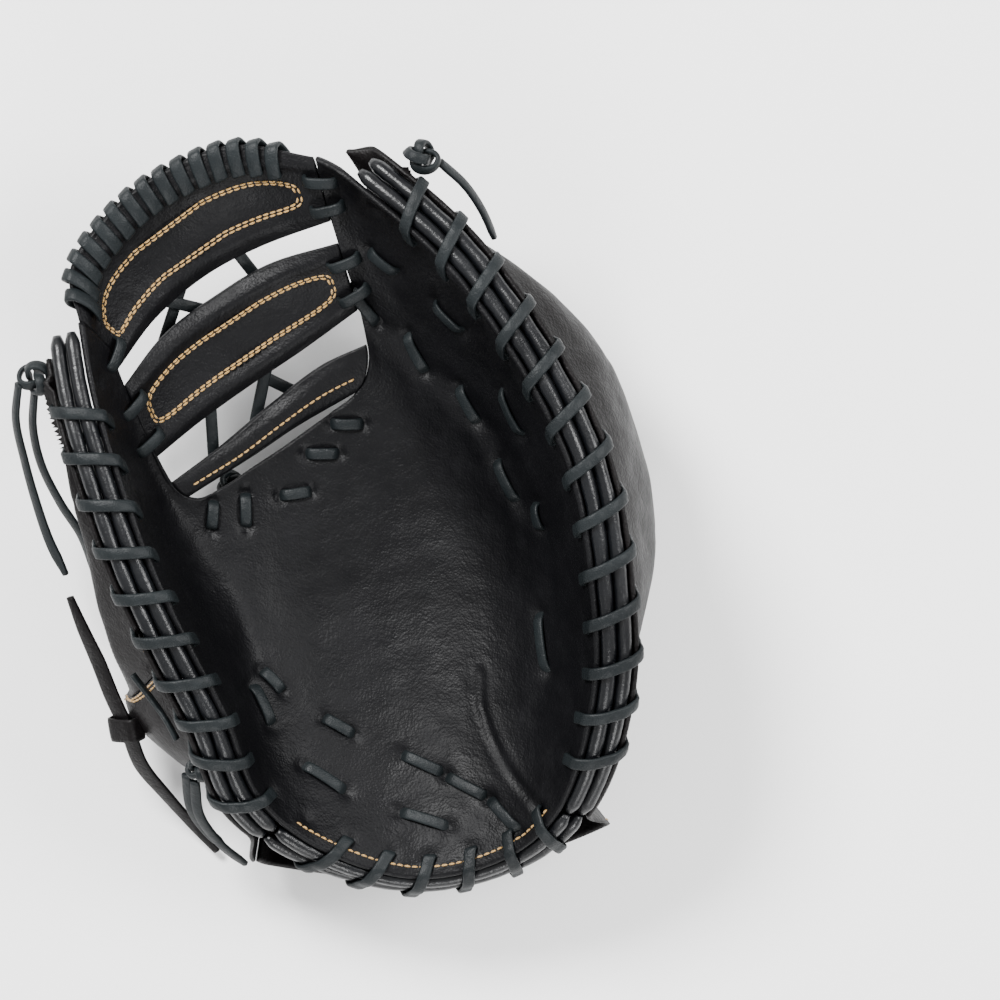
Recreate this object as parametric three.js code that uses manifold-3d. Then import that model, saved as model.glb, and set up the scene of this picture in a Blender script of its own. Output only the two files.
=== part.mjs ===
// First baseman's mitt for the left hand, lying on its back with the pocket up.
// Millimetres. +X points to the finger side, +Y from the heel to the web, +Z up out of the pocket.
import * as THREE from "three";
import Module from "manifold-3d";

// Overall sizes of the palm, which the section tables below share out.
const LENGTH = 306; // heel rim to the top of the web
const WIDTH = 234; // thumb rim to finger rim
const HEIGHT = 122; // rest face to the highest point of the palm's rim

// Layers.
const LEATHER = 2.4; // one layer of shell leather
const PAD = 6; // felt behind the palm leather where it is thickest
const PAD_TAPER = 16; // length over which the felt thins out
const HEEL_PAD = 11; // more of it under the heel
const HAND_ROOM = 32; // free depth of the hand's hollow
const FULL_ROOM = 0.22; // share of the way from the web side over which it deepens
const GAP = 0.4; // clearance between pieces that lie on each other
const LACE_GAP = 1; // clearance under a lace that lies on leather
const SLIT = 0.7; // clearance round a lace in its slit
const FLAT = 11; // stretch beside each laced edge where the back lies flat on the rolls

// Rolled welts and laces.
const ROLL = 6; // diameter of a rolled welt
const LACE_WIDTH = 5;
const LACE_THICK = 1.8;
const RIM_INSET = 8.5; // lace holes to the edge of the palm leather
const RIM_PITCH = 20; // one turn of the rim lacing
const EDGE_INSET = 7; // lace holes to the web-side edge of the back
const EDGE_PITCH = 17;
const TOP_PITCH = 8; // one turn of the lacing round the top of the web
const TOP_INSET = 12;

// Web bands, measured over their padded edges.
const CRESCENT_THICK = 8;
const BAR_THICK = 8.5;
const BASE_THICK = 8;
const BAND_END = 0.6; // free space between a band's end and the palm

// Wrist strap, its patch and the bound hand hole.
const STRAP_THICK = 3;
const PATCH_THICK = 1.2;
const BINDING = 7; // diameter of the padded binding
const KNOT = 8; // diameter of a knot's coil
const KEEPER_THICK = 1.6;
const TAB_WIDTH = 8;
const TAB_THICK = 2;

// Sections that fan out from the web to the rim, in order from the thumb tip round the heel to the finger tip.
// web and rim are the section's two ends and floor the heights that pull its middle down: x is a share of
// WIDTH, y of LENGTH and z of HEIGHT. bend is how far out the section turns up into the wall. back is the share
// of the section that the back leather leaves bare beside the web, and room the share of HAND_ROOM behind it.
const FAN = [
  { at: "thumb tip", web: [-0.385, 0.222, 0.672], rim: [-0.431, 0.258, 0.787], floor: [0.705, 0.738], bend: 0.67, back: 0.5, room: 0 },
  { at: "thumb top", web: [-0.364, 0.176, 0.623], rim: [-0.409, 0.167, 0.828], floor: [0.656, 0.705], bend: 0.67, back: 0.5, room: 0.12 },
  { at: "thumb upper", web: [-0.326, 0.104, 0.525], rim: [-0.374, 0.076, 0.852], floor: [0.508, 0.623], bend: 0.7, back: 0.42, room: 0.3 },
  { at: "thumb middle", web: [-0.285, 0.044, 0.443], rim: [-0.32, -0.042, 0.861], floor: [0.393, 0.525], bend: 0.72, back: 0.34, room: 0.45 },
  { at: "thumb lower", web: [-0.241, 0.026, 0.402], rim: [-0.258, -0.146, 0.828], floor: [0.344, 0.41], bend: 0.72, back: 0.32, room: 0.65 },
  { at: "thumb base", web: [-0.193, 0.044, 0.377], rim: [-0.186, -0.256, 0.754], floor: [0.336, 0.377], bend: 0.72, back: 0.3, room: 0.95 },
  { at: "heel thumb corner", web: [-0.149, 0.067, 0.369], rim: [-0.128, -0.366, 0.615], floor: [0.328, 0.352], bend: 0.7, back: 0.28, room: 1.12 },
  { at: "heel left", web: [-0.101, 0.091, 0.361], rim: [-0.015, -0.436, 0.5], floor: [0.29, 0.335], bend: 0.67, back: 0.25, room: 1.05 },
  { at: "heel middle", web: [-0.055, 0.116, 0.361], rim: [0.133, -0.47, 0.467], floor: [0.275, 0.33], bend: 0.67, back: 0.23, room: 1.1 },
  { at: "heel right", web: [-0.012, 0.14, 0.369], rim: [0.279, -0.446, 0.516], floor: [0.275, 0.33], bend: 0.67, back: 0.2, room: 1.1 },
  { at: "heel finger corner", web: [0.026, 0.162, 0.385], rim: [0.374, -0.381, 0.648], floor: [0.285, 0.335], bend: 0.72, back: 0.17, room: 1.15 },
  { at: "finger base", web: [0.05, 0.193, 0.41], rim: [0.426, -0.264, 0.811], floor: [0.3, 0.35], bend: 0.78, back: 0.15, room: 1.25 },
  { at: "finger low", web: [0.05, 0.235, 0.459], rim: [0.436, -0.131, 0.918], floor: [0.361, 0.41], bend: 0.82, back: 0.19, room: 1.3 },
  { at: "finger middle", web: [0.022, 0.313, 0.574], rim: [0.385, 0.085, 1.0], floor: [0.459, 0.525], bend: 0.82, back: 0.28, room: 0.9 },
  { at: "finger upper", web: [-0.012, 0.398, 0.697], rim: [0.21, 0.307, 0.943], floor: [0.656, 0.713], bend: 0.75, back: 0.27, room: 0.25 },
  { at: "finger tip", web: [-0.036, 0.47, 0.787], rim: [0.002, 0.454, 0.828], floor: [0.795, 0.811], bend: 0.67, back: 0.5, room: 0 },
];
const LAST = FAN.length - 1;

// Where the pieces begin and end along the fan, as section numbers of the table above.
const RIM = {
  thumb: { rolls: [0.1, 6.38], lace: [0.8, 6.1], layers: 2, towards: "tip" },
  heel: { rolls: [6.42, 9.98], lace: [6.65, 9.8], layers: 1, towards: "tip" },
  finger: { rolls: [10.02, 14.9], lace: [10.5, 14.7], layers: 2, towards: "web" },
};
const EDGE_ROLL = [2.2, 14.1];
const MOUTH = [6.3, 6.9, 9.5, 10]; // the wrist's way in opens between the first two and closes between the last
const BACK = { from: 0.4, to: 14.95, fingerSeam: 9.7 };
const TUCK = 12; // how far the wrist's end of the back is drawn in under the heel
const STRAP = { from: 6.75, to: 9.75, top: 0.66 };
const HOLE = { section: 7.35, along: 0.46, half: 0.62, tall: 0.15 };
const STRAP_GRID = { columns: 12, rows: 6 };
const PATCH = { columns: [1, 7], rows: [1, 5] }; // lines of the strap's grid that it spans

// The seam from the finger side down across the back to the thumb's rim: section number and share of the back.
const SEAM = [
  [3.5, 1.08],
  [4.1, 0.88],
  [5, 0.57],
  [6, 0.34],
  [7.2, 0.21],
  [8.3, 0.13],
  [9.74, 0.05],
];

// Edges of the web's bands. thumb and finger are the sections whose web ends they reach, and through is the
// way between them in the same shares as the fan.
const WEB_EDGES = {
  baseLow: { thumb: 3.6, finger: 10.2, through: [[-0.149, 0.083, 0.385], [-0.067, 0.125, 0.385]] },
  baseHigh: { thumb: 2.95, finger: 11.9, through: [[-0.2, 0.095, 0.43], [-0.115, 0.15, 0.418], [-0.03, 0.2, 0.43]] },
  barLow: { thumb: 2.35, finger: 12.55, through: [[-0.234, 0.131, 0.459], [-0.149, 0.178, 0.443], [-0.063, 0.222, 0.467]] },
  barHigh: { thumb: 1.05, finger: 13.55, through: [[-0.294, 0.242, 0.566], [-0.209, 0.292, 0.541], [-0.115, 0.334, 0.566]] },
  crescentLow: { thumb: 0.6, finger: 13.9, through: [[-0.311, 0.264, 0.598], [-0.226, 0.32, 0.574], [-0.128, 0.359, 0.598]] },
  crescentHigh: {
    thumb: -1,
    finger: 15,
    through: [[-0.448, 0.325, 0.78], [-0.395, 0.39, 0.76], [-0.31, 0.445, 0.75], [-0.18, 0.485, 0.765]],
  },
};

// Padded profiles across a band: share of its width, and share of half its thickness.
const TWO_LOBES = [[0, 0.3], [0.14, 1], [0.32, 0.5], [0.68, 0.5], [0.86, 1], [1, 0.3]];
const ONE_LOBE = [[0, 0.35], [0.25, 0.95], [0.75, 0.95], [1, 0.35]];

const wasm = await Module();
wasm.setup();

const mitt = new THREE.Group();
const solids = new Map(); // name to { solid, material }

// Materials.
function material(color, roughness) {
  return new THREE.MeshStandardMaterial({ color, roughness, metalness: 0 });
}
const SHELL = material(0x17171a, 0.55);
const REAR = material(0x19181a, 0.5);
const WELT = material(0x1b1c20, 0.4);
const LACE = material(0x1d2226, 0.5);
const BINDER = material(0x141416, 0.45);
const CLOTH = material(0x0c0c0f, 0.9);

// Small helpers.
function place([x, y, z]) {
  return new THREE.Vector3(x * WIDTH, y * LENGTH, z * HEIGHT);
}

function smooth(x, low, high) {
  return THREE.MathUtils.smoothstep(x, low, high);
}

function curveThrough(points) {
  return new THREE.CatmullRomCurve3(points, false, "catmullrom", 0.5);
}

function onFan(curve, section) {
  return curve.getPoint(THREE.MathUtils.clamp(section / LAST, 0, 1));
}

// The palm's front face, as sections of cubic curves between the web and the rim.
const webEnds = curveThrough(FAN.map((row) => place(row.web)));
const rimEnds = curveThrough(FAN.map((row) => place(row.rim)));
const floors = [0, 1].map((k) =>
  curveThrough(
    FAN.map((row) => place(row.web).lerp(place(row.rim), k ? row.bend : 1 / 3).setZ(row.floor[k] * HEIGHT)),
  ),
);
const coverShares = curveThrough(FAN.map((row) => new THREE.Vector3(row.back, row.room, 0)));

function mouthAt(section) {
  return smooth(section, MOUTH[0], MOUTH[1]) * (1 - smooth(section, MOUTH[2], MOUTH[3]));
}

function palmPoint(section, t) {
  const ends = [webEnds, floors[0], floors[1], rimEnds].map((curve) => onFan(curve, section));
  return new THREE.CubicBezierCurve3(...ends).getPoint(t);
}

// Point, unit vectors along the rim and square out from it, the normal that looks into the pocket, and the sine
// of the angle at which the section crosses. Beyond the palm's own edges the frame goes straight on.
const STEP = 0.02;
function palmFrame(section, t) {
  const s = THREE.MathUtils.clamp(section, 0, LAST);
  const edge = THREE.MathUtils.clamp(t, 0, 1);
  const [s0, s1] = [Math.max(0, s - STEP), Math.min(LAST, s + STEP)];
  const [t0, t1] = [Math.max(0, edge - STEP), Math.min(1, edge + STEP)];
  const slope = palmPoint(s, t1).sub(palmPoint(s, t0)).normalize();
  const along = palmPoint(s1, edge).sub(palmPoint(s0, edge)).normalize();
  const normal = new THREE.Vector3().crossVectors(slope, along);
  const lean = normal.length();
  normal.normalize();
  const out = new THREE.Vector3().crossVectors(along, normal);
  const point = palmPoint(s, edge).addScaledVector(slope, (t - edge) * sectionLength(s));
  return { point, out, along, normal, lean };
}

function sectionLength(section) {
  const ends = [webEnds, floors[0], floors[1], rimEnds].map((curve) => onFan(curve, section));
  return new THREE.CubicBezierCurve3(...ends).getLength();
}

// Palm leather and the felt behind it, which thins out towards the rim and the web.
function palmThickness(section, t) {
  const length = sectionLength(section);
  const { x: bare } = onFan(coverShares, section);
  const fromRim = (1 - t) * length * palmFrame(section, 1).lean - RIM_INSET - LACE_WIDTH / 2;
  const fromEdge = (t - bare) * length * palmFrame(section, bare).lean - EDGE_INSET - 2 * LACE_WIDTH;
  const heel = smooth(section, 5, 7) * (1 - smooth(section, 9.5, 11.5)) * smooth(t, 0.35, 0.7);
  return LEATHER + (PAD + HEEL_PAD * heel) * smooth(fromRim, 0, PAD_TAPER) * smooth(fromEdge, 0, PAD_TAPER);
}

// The rolls that lie between the palm's edge and the back's edge.
const EDGE_ROOM = LACE_THICK + 2 * LACE_GAP + GAP + ROLL - LEATHER;
const RIM_ROOM = 2 * ROLL + 4 * GAP;

// Free depth between palm and back, at a share of the back from the web side to the rim.
function hollow(section, share) {
  const { x: bare, y: room } = onFan(coverShares, section);
  const length = (1 - bare) * sectionLength(section);
  const [inner, outer] = [bare, 1].map((t) => FLAT / palmFrame(section, t).lean);
  const way = THREE.MathUtils.clamp((share * length - inner) / Math.max(1, length - inner - outer), 0, 1);
  const open = smooth(way, 0, FULL_ROOM);
  const closed = open * (1 - smooth(way, 0.5, 1));
  const bulge = THREE.MathUtils.lerp(closed, open, mouthAt(section));
  return THREE.MathUtils.lerp(EDGE_ROOM, RIM_ROOM, smooth(share, 0, 1)) + HAND_ROOM * Math.max(0, room) * bulge;
}

// A point of the back at a height above its outer face, flattened where the mitt rests.
function backPoint(section, share, lift) {
  const { x: bare } = onFan(coverShares, section);
  const t = bare + (1 - bare) * share;
  const { point, out, normal } = palmFrame(section, t);
  const depth = palmThickness(section, t) + hollow(section, share) + LEATHER - lift;
  point.addScaledVector(normal, -depth).addScaledVector(out, -TUCK * mouthAt(section) * share);
  point.z = Math.max(point.z, lift);
  return point;
}

// Closed meshes. A grid of sections by rows, its back grid and the four edges between them.
function meshOf(vertices, triangles) {
  const geometry = new THREE.BufferGeometry();
  geometry.setAttribute("position", new THREE.Float32BufferAttribute(vertices.flatMap((p) => p.toArray()), 3));
  geometry.setIndex(triangles.flat());
  return geometry;
}

function solidOf(geometry) {
  const position = geometry.getAttribute("position").array;
  const made = new wasm.Manifold(
    new wasm.Mesh({
      numProp: 3,
      vertProperties: new Float32Array(position),
      triVerts: new Uint32Array(geometry.index.array),
    }),
  );
  return made;
}

// upper and lower are functions of (i / columns, j / rows); upper's side faces along columns x rows.
function shell(columns, rows, upper, lower) {
  const vertices = [];
  const width = rows + 1;
  for (const face of [upper, lower]) {
    for (let i = 0; i <= columns; i++) {
      for (let j = 0; j <= rows; j++) vertices.push(face(i / columns, j / rows));
    }
  }
  const under = (columns + 1) * width;
  const triangles = [];
  for (let i = 0; i < columns; i++) {
    for (let j = 0; j < rows; j++) {
      const a = i * width + j;
      const b = a + width;
      triangles.push([a, a + 1, b], [b, a + 1, b + 1]);
      triangles.push([under + a, under + b, under + a + 1], [under + b, under + b + 1, under + a + 1]);
    }
  }
  const loop = [];
  for (let j = 0; j < rows; j++) loop.push(j);
  for (let i = 0; i < columns; i++) loop.push(i * width + rows);
  for (let j = rows; j > 0; j--) loop.push(columns * width + j);
  for (let i = columns; i > 0; i--) loop.push(i * width);
  loop.forEach((a, k) => {
    const b = loop[(k + 1) % loop.length];
    triangles.push([a, under + a, b], [b, under + a, under + b]);
  });
  return solidOf(meshOf(vertices, triangles));
}

// A polygon carried along stations { point, across, up }, capped at both ends unless it closes on itself.
function sweep(stations, polygon, closed = false) {
  const vertices = stations.flatMap(({ point, across, up, scale = 1 }) =>
    polygon.map(([x, y]) => point.clone().addScaledVector(across, x * scale).addScaledVector(up, y * scale)),
  );
  const n = polygon.length;
  const triangles = [];
  const spans = closed ? stations.length : stations.length - 1;
  for (let i = 0; i < spans; i++) {
    const a = i * n;
    const b = ((i + 1) % stations.length) * n;
    for (let k = 0; k < n; k++) {
      const next = (k + 1) % n;
      triangles.push([a + k, a + next, b + k], [b + k, a + next, b + next]);
    }
  }
  if (!closed) {
    const end = (stations.length - 1) * n;
    for (let k = 1; k < n - 1; k++) triangles.push([0, k + 1, k], [end, end + k, end + k + 1]);
  }
  const made = solidOf(meshOf(vertices, triangles));
  return made.volume() < 0 ? solidOf(meshOf(vertices, triangles.map(([a, b, c]) => [a, c, b]))) : made;
}

function circle(diameter, sides) {
  return Array.from({ length: sides }, (_, k) => {
    const angle = (2 * Math.PI * (k + 0.5)) / sides;
    return [(diameter / 2) * Math.cos(angle), (diameter / 2) * Math.sin(angle)];
  });
}

function rectangle(width, height) {
  return [[-1, -1], [1, -1], [1, 1], [-1, 1]].map(([x, y]) => [(x * width) / 2, (y * height) / 2]);
}

// Stations for a lace: its flat side looks along each point's outward vector.
function laceStations(points, outwards, closed = false) {
  const count = points.length;
  return points.map((point, i) => {
    const before = points[closed ? (i + count - 1) % count : Math.max(0, i - 1)];
    const after = points[closed ? (i + 1) % count : Math.min(count - 1, i + 1)];
    const tangent = after.clone().sub(before).normalize();
    const across = new THREE.Vector3().crossVectors(tangent, outwards[i]).normalize();
    const up = new THREE.Vector3().crossVectors(across, tangent).normalize();
    return { point, across, up };
  });
}

function lace(stations, closed = false) {
  return {
    solid: sweep(stations, rectangle(LACE_WIDTH, LACE_THICK), closed),
    clear: sweep(stations, rectangle(LACE_WIDTH + 2 * GAP, LACE_THICK + 2 * GAP), closed),
  };
}

function sections([from, to], perSection) {
  const count = Math.max(2, Math.ceil((to - from) * perSection));
  return Array.from({ length: count + 1 }, (_, i) => from + ((to - from) * i) / count);
}

// Section numbers spaced evenly by the length of a curve along the fan, whole turns of it.
const SAMPLES = 400;
function evenSections([from, to], pitch, perTurn, pointAt) {
  const rows = sections([from, to], SAMPLES / (to - from));
  const lengths = [0];
  for (let i = 1; i < rows.length; i++) {
    lengths.push(lengths[i - 1] + pointAt(rows[i]).distanceTo(pointAt(rows[i - 1])));
  }
  const total = lengths[lengths.length - 1];
  const turns = Math.max(1, Math.round(total / pitch));
  return Array.from({ length: turns * perTurn + 1 }, (_, k) => {
    const wanted = (total * k) / (turns * perTurn);
    let i = 1;
    while (i < rows.length - 1 && lengths[i] < wanted) i++;
    const part = (wanted - lengths[i - 1]) / (lengths[i] - lengths[i - 1]);
    return rows[i - 1] + (rows[i] - rows[i - 1]) * part;
  });
}

// A lace wound round an edge. loop lists one turn as [out, depth] from the frame's point, where out is along
// frame.out and depth against frame.normal; from its last point the lace goes through the layers to its first.
function woundLace(range, pitch, frameAt, loop, backwards = false) {
  const rows = evenSections(range, pitch, loop.length, (section) => frameAt(section).point);
  if (backwards) rows.reverse();
  const middle = loop.reduce((sum, [o, d]) => [sum[0] + o / loop.length, sum[1] + d / loop.length], [0, 0]);
  const points = [];
  const outwards = [];
  const add = (section, [out, depth]) => {
    const frame = frameAt(section);
    const offset = (o, d) => new THREE.Vector3().addScaledVector(frame.out, o).addScaledVector(frame.normal, -d);
    points.push(frame.point.clone().add(offset(out, depth)));
    outwards.push(offset(out - middle[0], depth - middle[1]));
  };
  const inside = [loop[0][0], middle[1]];
  add(rows[0], inside);
  rows.slice(0, -1).forEach((section, k) => add(section, loop[k % loop.length]));
  const stations = laceStations(points, outwards);
  const slits = [];
  for (let k = 0; k < points.length - 1; k += loop.length) {
    const [a, b] = [stations[k], stations[k + 1]];
    const tangent = b.point.clone().sub(a.point).normalize();
    const across = a.across.clone().add(b.across).normalize();
    const up = new THREE.Vector3().crossVectors(tangent, across).normalize();
    const side = new THREE.Vector3().crossVectors(up, tangent).normalize();
    const slit = [a.point, b.point].map((point) => ({ point, across: side, up }));
    slits.push(sweep(slit, rectangle(LACE_WIDTH + 2 * SLIT, LACE_THICK + 2 * SLIT)));
  }
  return { solid: lace(stations).solid, slits };
}

// Palm.
const PALM_PITCH = 20; // spacing of its columns along the rim
const PALM_ROWS = [0, 0.1, 0.23, 0.37, 0.51, 0.65, 0.78, 0.9, 1];
const palmColumns = evenSections([0, LAST], PALM_PITCH, 1, (section) => onFan(rimEnds, section));
function palmSkin(above, below, beyond) {
  const rows = PALM_ROWS.length - 1;
  const face = (under, lift) => (u, v) => {
    const section = palmColumns[Math.round(u * (palmColumns.length - 1))];
    const t = PALM_ROWS[Math.round(v * rows)] - (v === 0 ? beyond / sectionLength(section) : 0);
    const { point, normal } = palmFrame(section, t);
    return point.addScaledVector(normal, lift - (under ? palmThickness(section, Math.max(0, t)) : 0));
  };
  return shell(palmColumns.length - 1, rows, face(false, above), face(true, -below));
}
solids.set("palm_shell", { solid: palmSkin(0, 0, 0), material: SHELL });
const palmRoom = palmSkin(GAP, GAP, BAND_END);

// Back leather: one skin over the hand's hollow, cut along its seams into three panels.
const backBreaks = [BACK.from, MOUTH[0], MOUTH[1], BACK.fingerSeam, MOUTH[3], BACK.to];
const backColumns = backBreaks.slice(1).flatMap((to, k) => {
  const rows = evenSections([backBreaks[k], to], PALM_PITCH + 2, 1, (section) => onFan(rimEnds, section));
  return k ? rows.slice(1) : rows;
});
const BACK_ROWS = [0, 0.1, 0.25, 0.41, 0.57, 0.73, 0.88, 1];
function backFace(lift) {
  return (u, v) => {
    const section = backColumns[Math.round(u * (backColumns.length - 1))];
    return backPoint(section, BACK_ROWS[Math.round(v * (BACK_ROWS.length - 1))], lift);
  };
}
const backSkin = shell(backColumns.length - 1, BACK_ROWS.length - 1, backFace(LEATHER), backFace(0));

// A thin wall through the back leather along a line of [section, share].
const WALL = 0.2 * HEIGHT; // its height
function seamWall(line, steps) {
  const points = curveThrough(line.map(([section, share]) => new THREE.Vector3(section, share, 0))).getPoints(steps);
  const rings = points.map(({ x: section, y: share }) => {
    const high = backPoint(section, share, WALL / 2);
    const low = backPoint(section, share, -WALL / 2);
    return { point: high.clone().lerp(low, 0.5), up: high.clone().sub(low).normalize() };
  });
  const stations = rings.map(({ point, up }, i) => {
    const before = rings[Math.max(0, i - 1)].point;
    const after = rings[Math.min(rings.length - 1, i + 1)].point;
    const across = new THREE.Vector3().crossVectors(after.clone().sub(before), up).normalize();
    return { point, across, up };
  });
  const face = rectangle(2 * GAP, WALL);
  return wasm.Manifold.union(stations.slice(1).map((station, i) => sweep([stations[i], station], face)));
}
const fingerSeam = [-0.1, 0.3, 0.7, 1.15].map((share) => [BACK.fingerSeam, share]);
const panels = backSkin
  .subtract(seamWall(SEAM, 24))
  .subtract(seamWall(fingerSeam, 24))
  .decompose()
  .sort((a, b) => b.volume() - a.volume());
const PANELS = ["finger_back", "wrist_back", "thumb_back"]; // largest first
PANELS.forEach((name, k) => solids.set(name, { solid: panels[k], material: REAR }));

// Wrist strap with its patch, let into the back at the heel.
function strapPoint(column, row, lift, grow) {
  const u = column / STRAP_GRID.columns;
  const v = row / STRAP_GRID.rows;
  const section = THREE.MathUtils.lerp(STRAP.from - grow / 20, STRAP.to + grow / 20, u);
  return backPoint(section, THREE.MathUtils.lerp(STRAP.top - grow / sectionLength(section), 1 + grow / 40, v), lift);
}

function strapShell(columns, rows, low, high, grow) {
  const face = (lift) => (u, v) =>
    strapPoint(THREE.MathUtils.lerp(...columns, u), THREE.MathUtils.lerp(...rows, v), lift, grow);
  return shell(columns[1] - columns[0], rows[1] - rows[0], face(high), face(low));
}

const strapGrid = [[0, STRAP_GRID.columns], [0, STRAP_GRID.rows]];
const strapLow = PATCH_THICK + GAP;
const strap = strapShell(...strapGrid, strapLow, strapLow + STRAP_THICK, 0);
solids.set("wrist_strap", { solid: strap, material: REAR });
solids.set("wrist_patch", { solid: strapShell(PATCH.columns, PATCH.rows, 0, PATCH_THICK, 0), material: CLOTH });
const strapRoom = strapShell(...strapGrid, -LEATHER, strapLow + STRAP_THICK + LEATHER, 1.5 * GAP);

// The hole over the back of the hand and the padded binding round it.
const HOLE_STEPS = 16;
function holeRing(grow) {
  return Array.from({ length: HOLE_STEPS }, (_, k) => {
    const angle = (2 * Math.PI * k) / HOLE_STEPS;
    const section = HOLE.section + HOLE.half * Math.cos(angle);
    const share = HOLE.along + HOLE.tall * Math.sin(angle);
    const point = backPoint(section, share, BINDING / 2);
    const centre = backPoint(HOLE.section, HOLE.along, BINDING / 2);
    const outward = point.clone().sub(centre).setZ(0).normalize();
    return { point: point.addScaledVector(outward, grow), across: outward, up: new THREE.Vector3(0, 0, 1) };
  });
}
solids.set("hole_binding", { solid: sweep(holeRing(0), circle(BINDING, 6), true), material: BINDER });

function holePlug() {
  const ring = holeRing(BINDING / 2 + GAP);
  const shape = new THREE.Shape(ring.map(({ point }) => new THREE.Vector2(point.x, point.y)));
  const depth = HAND_ROOM / 2 + BINDING;
  const geometry = new THREE.ExtrudeGeometry(shape, { depth, bevelEnabled: false });
  geometry.translate(0, 0, -BINDING);
  return merged(geometry);
}

// A three.js geometry class's solid, once its shared corners are joined.
function merged(geometry) {
  const position = geometry.index ? geometry.toNonIndexed().getAttribute("position") : geometry.getAttribute("position");
  const seen = new Map();
  const vertices = [];
  const index = [];
  for (let i = 0; i < position.count; i++) {
    const p = new THREE.Vector3().fromBufferAttribute(position, i);
    const key = p.toArray().map((x) => Math.round(x * 1000)).join();
    if (!seen.has(key)) {
      seen.set(key, vertices.length);
      vertices.push(p);
    }
    index.push(seen.get(key));
  }
  const triangles = [];
  for (let i = 0; i < index.length; i += 3) {
    const [a, b, c] = index.slice(i, i + 3);
    if (a !== b && b !== c && a !== c) triangles.push([a, b, c]);
  }
  return solidOf(meshOf(vertices, triangles));
}

// Rolled welts of the rim, stacked behind the palm's edge.
function rimFrame(section) {
  return palmFrame(section, 1);
}

const ROLL_STEP = 15; // a welt's straight facets
function rimRoll(range, layer, grow = 0) {
  const depth = LEATHER + 1.5 * GAP + ROLL / 2 + layer * (ROLL + GAP);
  const stations = evenSections(range, ROLL_STEP, 1, (section) => onFan(rimEnds, section)).map((section) => {
    const { point, out, normal } = rimFrame(section);
    return { point: point.clone().addScaledVector(normal, -depth), across: out, up: normal };
  });
  return sweep(stations, circle(ROLL + 2 * grow, 6));
}

for (const [side, { rolls }] of Object.entries(RIM)) {
  solids.set(`${side}_roll_inner`, { solid: rimRoll(rolls, 0), material: WELT });
  solids.set(`${side}_roll_outer`, { solid: rimRoll(rolls, 1), material: WELT });
}

// Rim lacing: over the palm leather and both rolls, and back through all the layers.
const OFF = LACE_THICK / 2 + LACE_GAP; // a lace's middle above what it lies on
function rimLoop(layers) {
  const first = LEATHER + 1.5 * GAP + ROLL / 2;
  const second = first + ROLL + GAP;
  const bottom = LEATHER * layers + RIM_ROOM;
  const reach = ROLL / 2 + OFF;
  return [
    [-RIM_INSET, -OFF],
    [OFF, -OFF],
    [reach * 1.15, first - reach * 0.4],
    [reach * 1.15, second + reach * 0.4],
    [OFF, bottom + OFF],
    [-RIM_INSET, bottom + OFF],
  ];
}
const slits = {};
for (const [side, { lace: range, layers, towards }] of Object.entries(RIM)) {
  const wound = woundLace(range, RIM_PITCH, rimFrame, rimLoop(layers), towards === "tip");
  solids.set(`${side}_rim_lace`, { solid: wound.solid, material: LACE });
  slits[side] = wound.slits;
}

// The roll along the back's web-side edge and the lace that binds it on.
function edgePoint(section) {
  const { x: bare } = onFan(coverShares, section);
  const { point, normal } = palmFrame(section, bare);
  return point.addScaledVector(normal, -palmThickness(section, bare));
}

function edgeFrame(section) {
  const { normal } = palmFrame(section, onFan(coverShares, section).x);
  const along = edgePoint(section + STEP).sub(edgePoint(section - STEP)).normalize();
  const out = new THREE.Vector3().crossVectors(along, normal).normalize();
  return { point: edgePoint(section), out, along, normal };
}
const edgeRollDepth = LACE_THICK + 2 * LACE_GAP + GAP + ROLL / 2;
const edgeRollOut = -(ROLL / 2 + GAP);
solids.set("web_edge_roll", {
  solid: sweep(
    evenSections(EDGE_ROLL, ROLL_STEP - 3, 1, (section) => edgeFrame(section).point).map((section) => {
      const { point, out, normal } = edgeFrame(section);
      point.addScaledVector(out, edgeRollOut).addScaledVector(normal, -edgeRollDepth);
      return { point, across: out, up: normal };
    }),
    circle(ROLL, 6),
  ),
  material: WELT,
});
function edgeLoop() {
  const reach = ROLL / 2 + OFF;
  const top = edgeRollDepth - reach * 1.04;
  return [
    [EDGE_INSET, top],
    [edgeRollOut - reach * 0.3, top],
    [edgeRollOut - reach * 1.15, edgeRollDepth - reach * 0.35],
    [edgeRollOut - reach * 1.15, edgeRollDepth + reach * 0.35],
    [edgeRollOut - reach * 0.3, edgeRollDepth + reach * 1.12],
    [EDGE_INSET, edgeRollDepth + reach * 1.12],
  ];
}
const edgeLace = woundLace(EDGE_ROLL, EDGE_PITCH, edgeFrame, edgeLoop());
solids.set("web_edge_lace", { solid: edgeLace.solid, material: LACE });
slits.edge = edgeLace.slits;

// The web: padded bands between two edges, from the thumb side to the finger side.
// A section before the first or after the last lies on the palm's end edge, that share of its way to the rim.
function palmEdge(section) {
  if (section < 0) return palmPoint(0, -section);
  if (section > LAST) return palmPoint(LAST, section - LAST);
  return onFan(webEnds, section);
}

const bandEdges = Object.fromEntries(
  Object.entries(WEB_EDGES).map(([name, { thumb, finger, through }]) => [
    name,
    curveThrough([palmEdge(thumb), ...through.map(place), palmEdge(finger)]),
  ]),
);

// A point of a band: a is the share of its length, b of its width; its ends follow the palm's edge.
function bandPoint(low, high, a, b) {
  const between = (share) => bandEdges[low].getPoint(share).lerp(bandEdges[high].getPoint(share), b);
  const seat = (side) => palmEdge(THREE.MathUtils.lerp(WEB_EDGES[low][side], WEB_EDGES[high][side], b));
  const start = seat("thumb").sub(between(0));
  const end = seat("finger").sub(between(1));
  return between(a).addScaledVector(start, 1 - a).addScaledVector(end, a);
}

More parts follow.
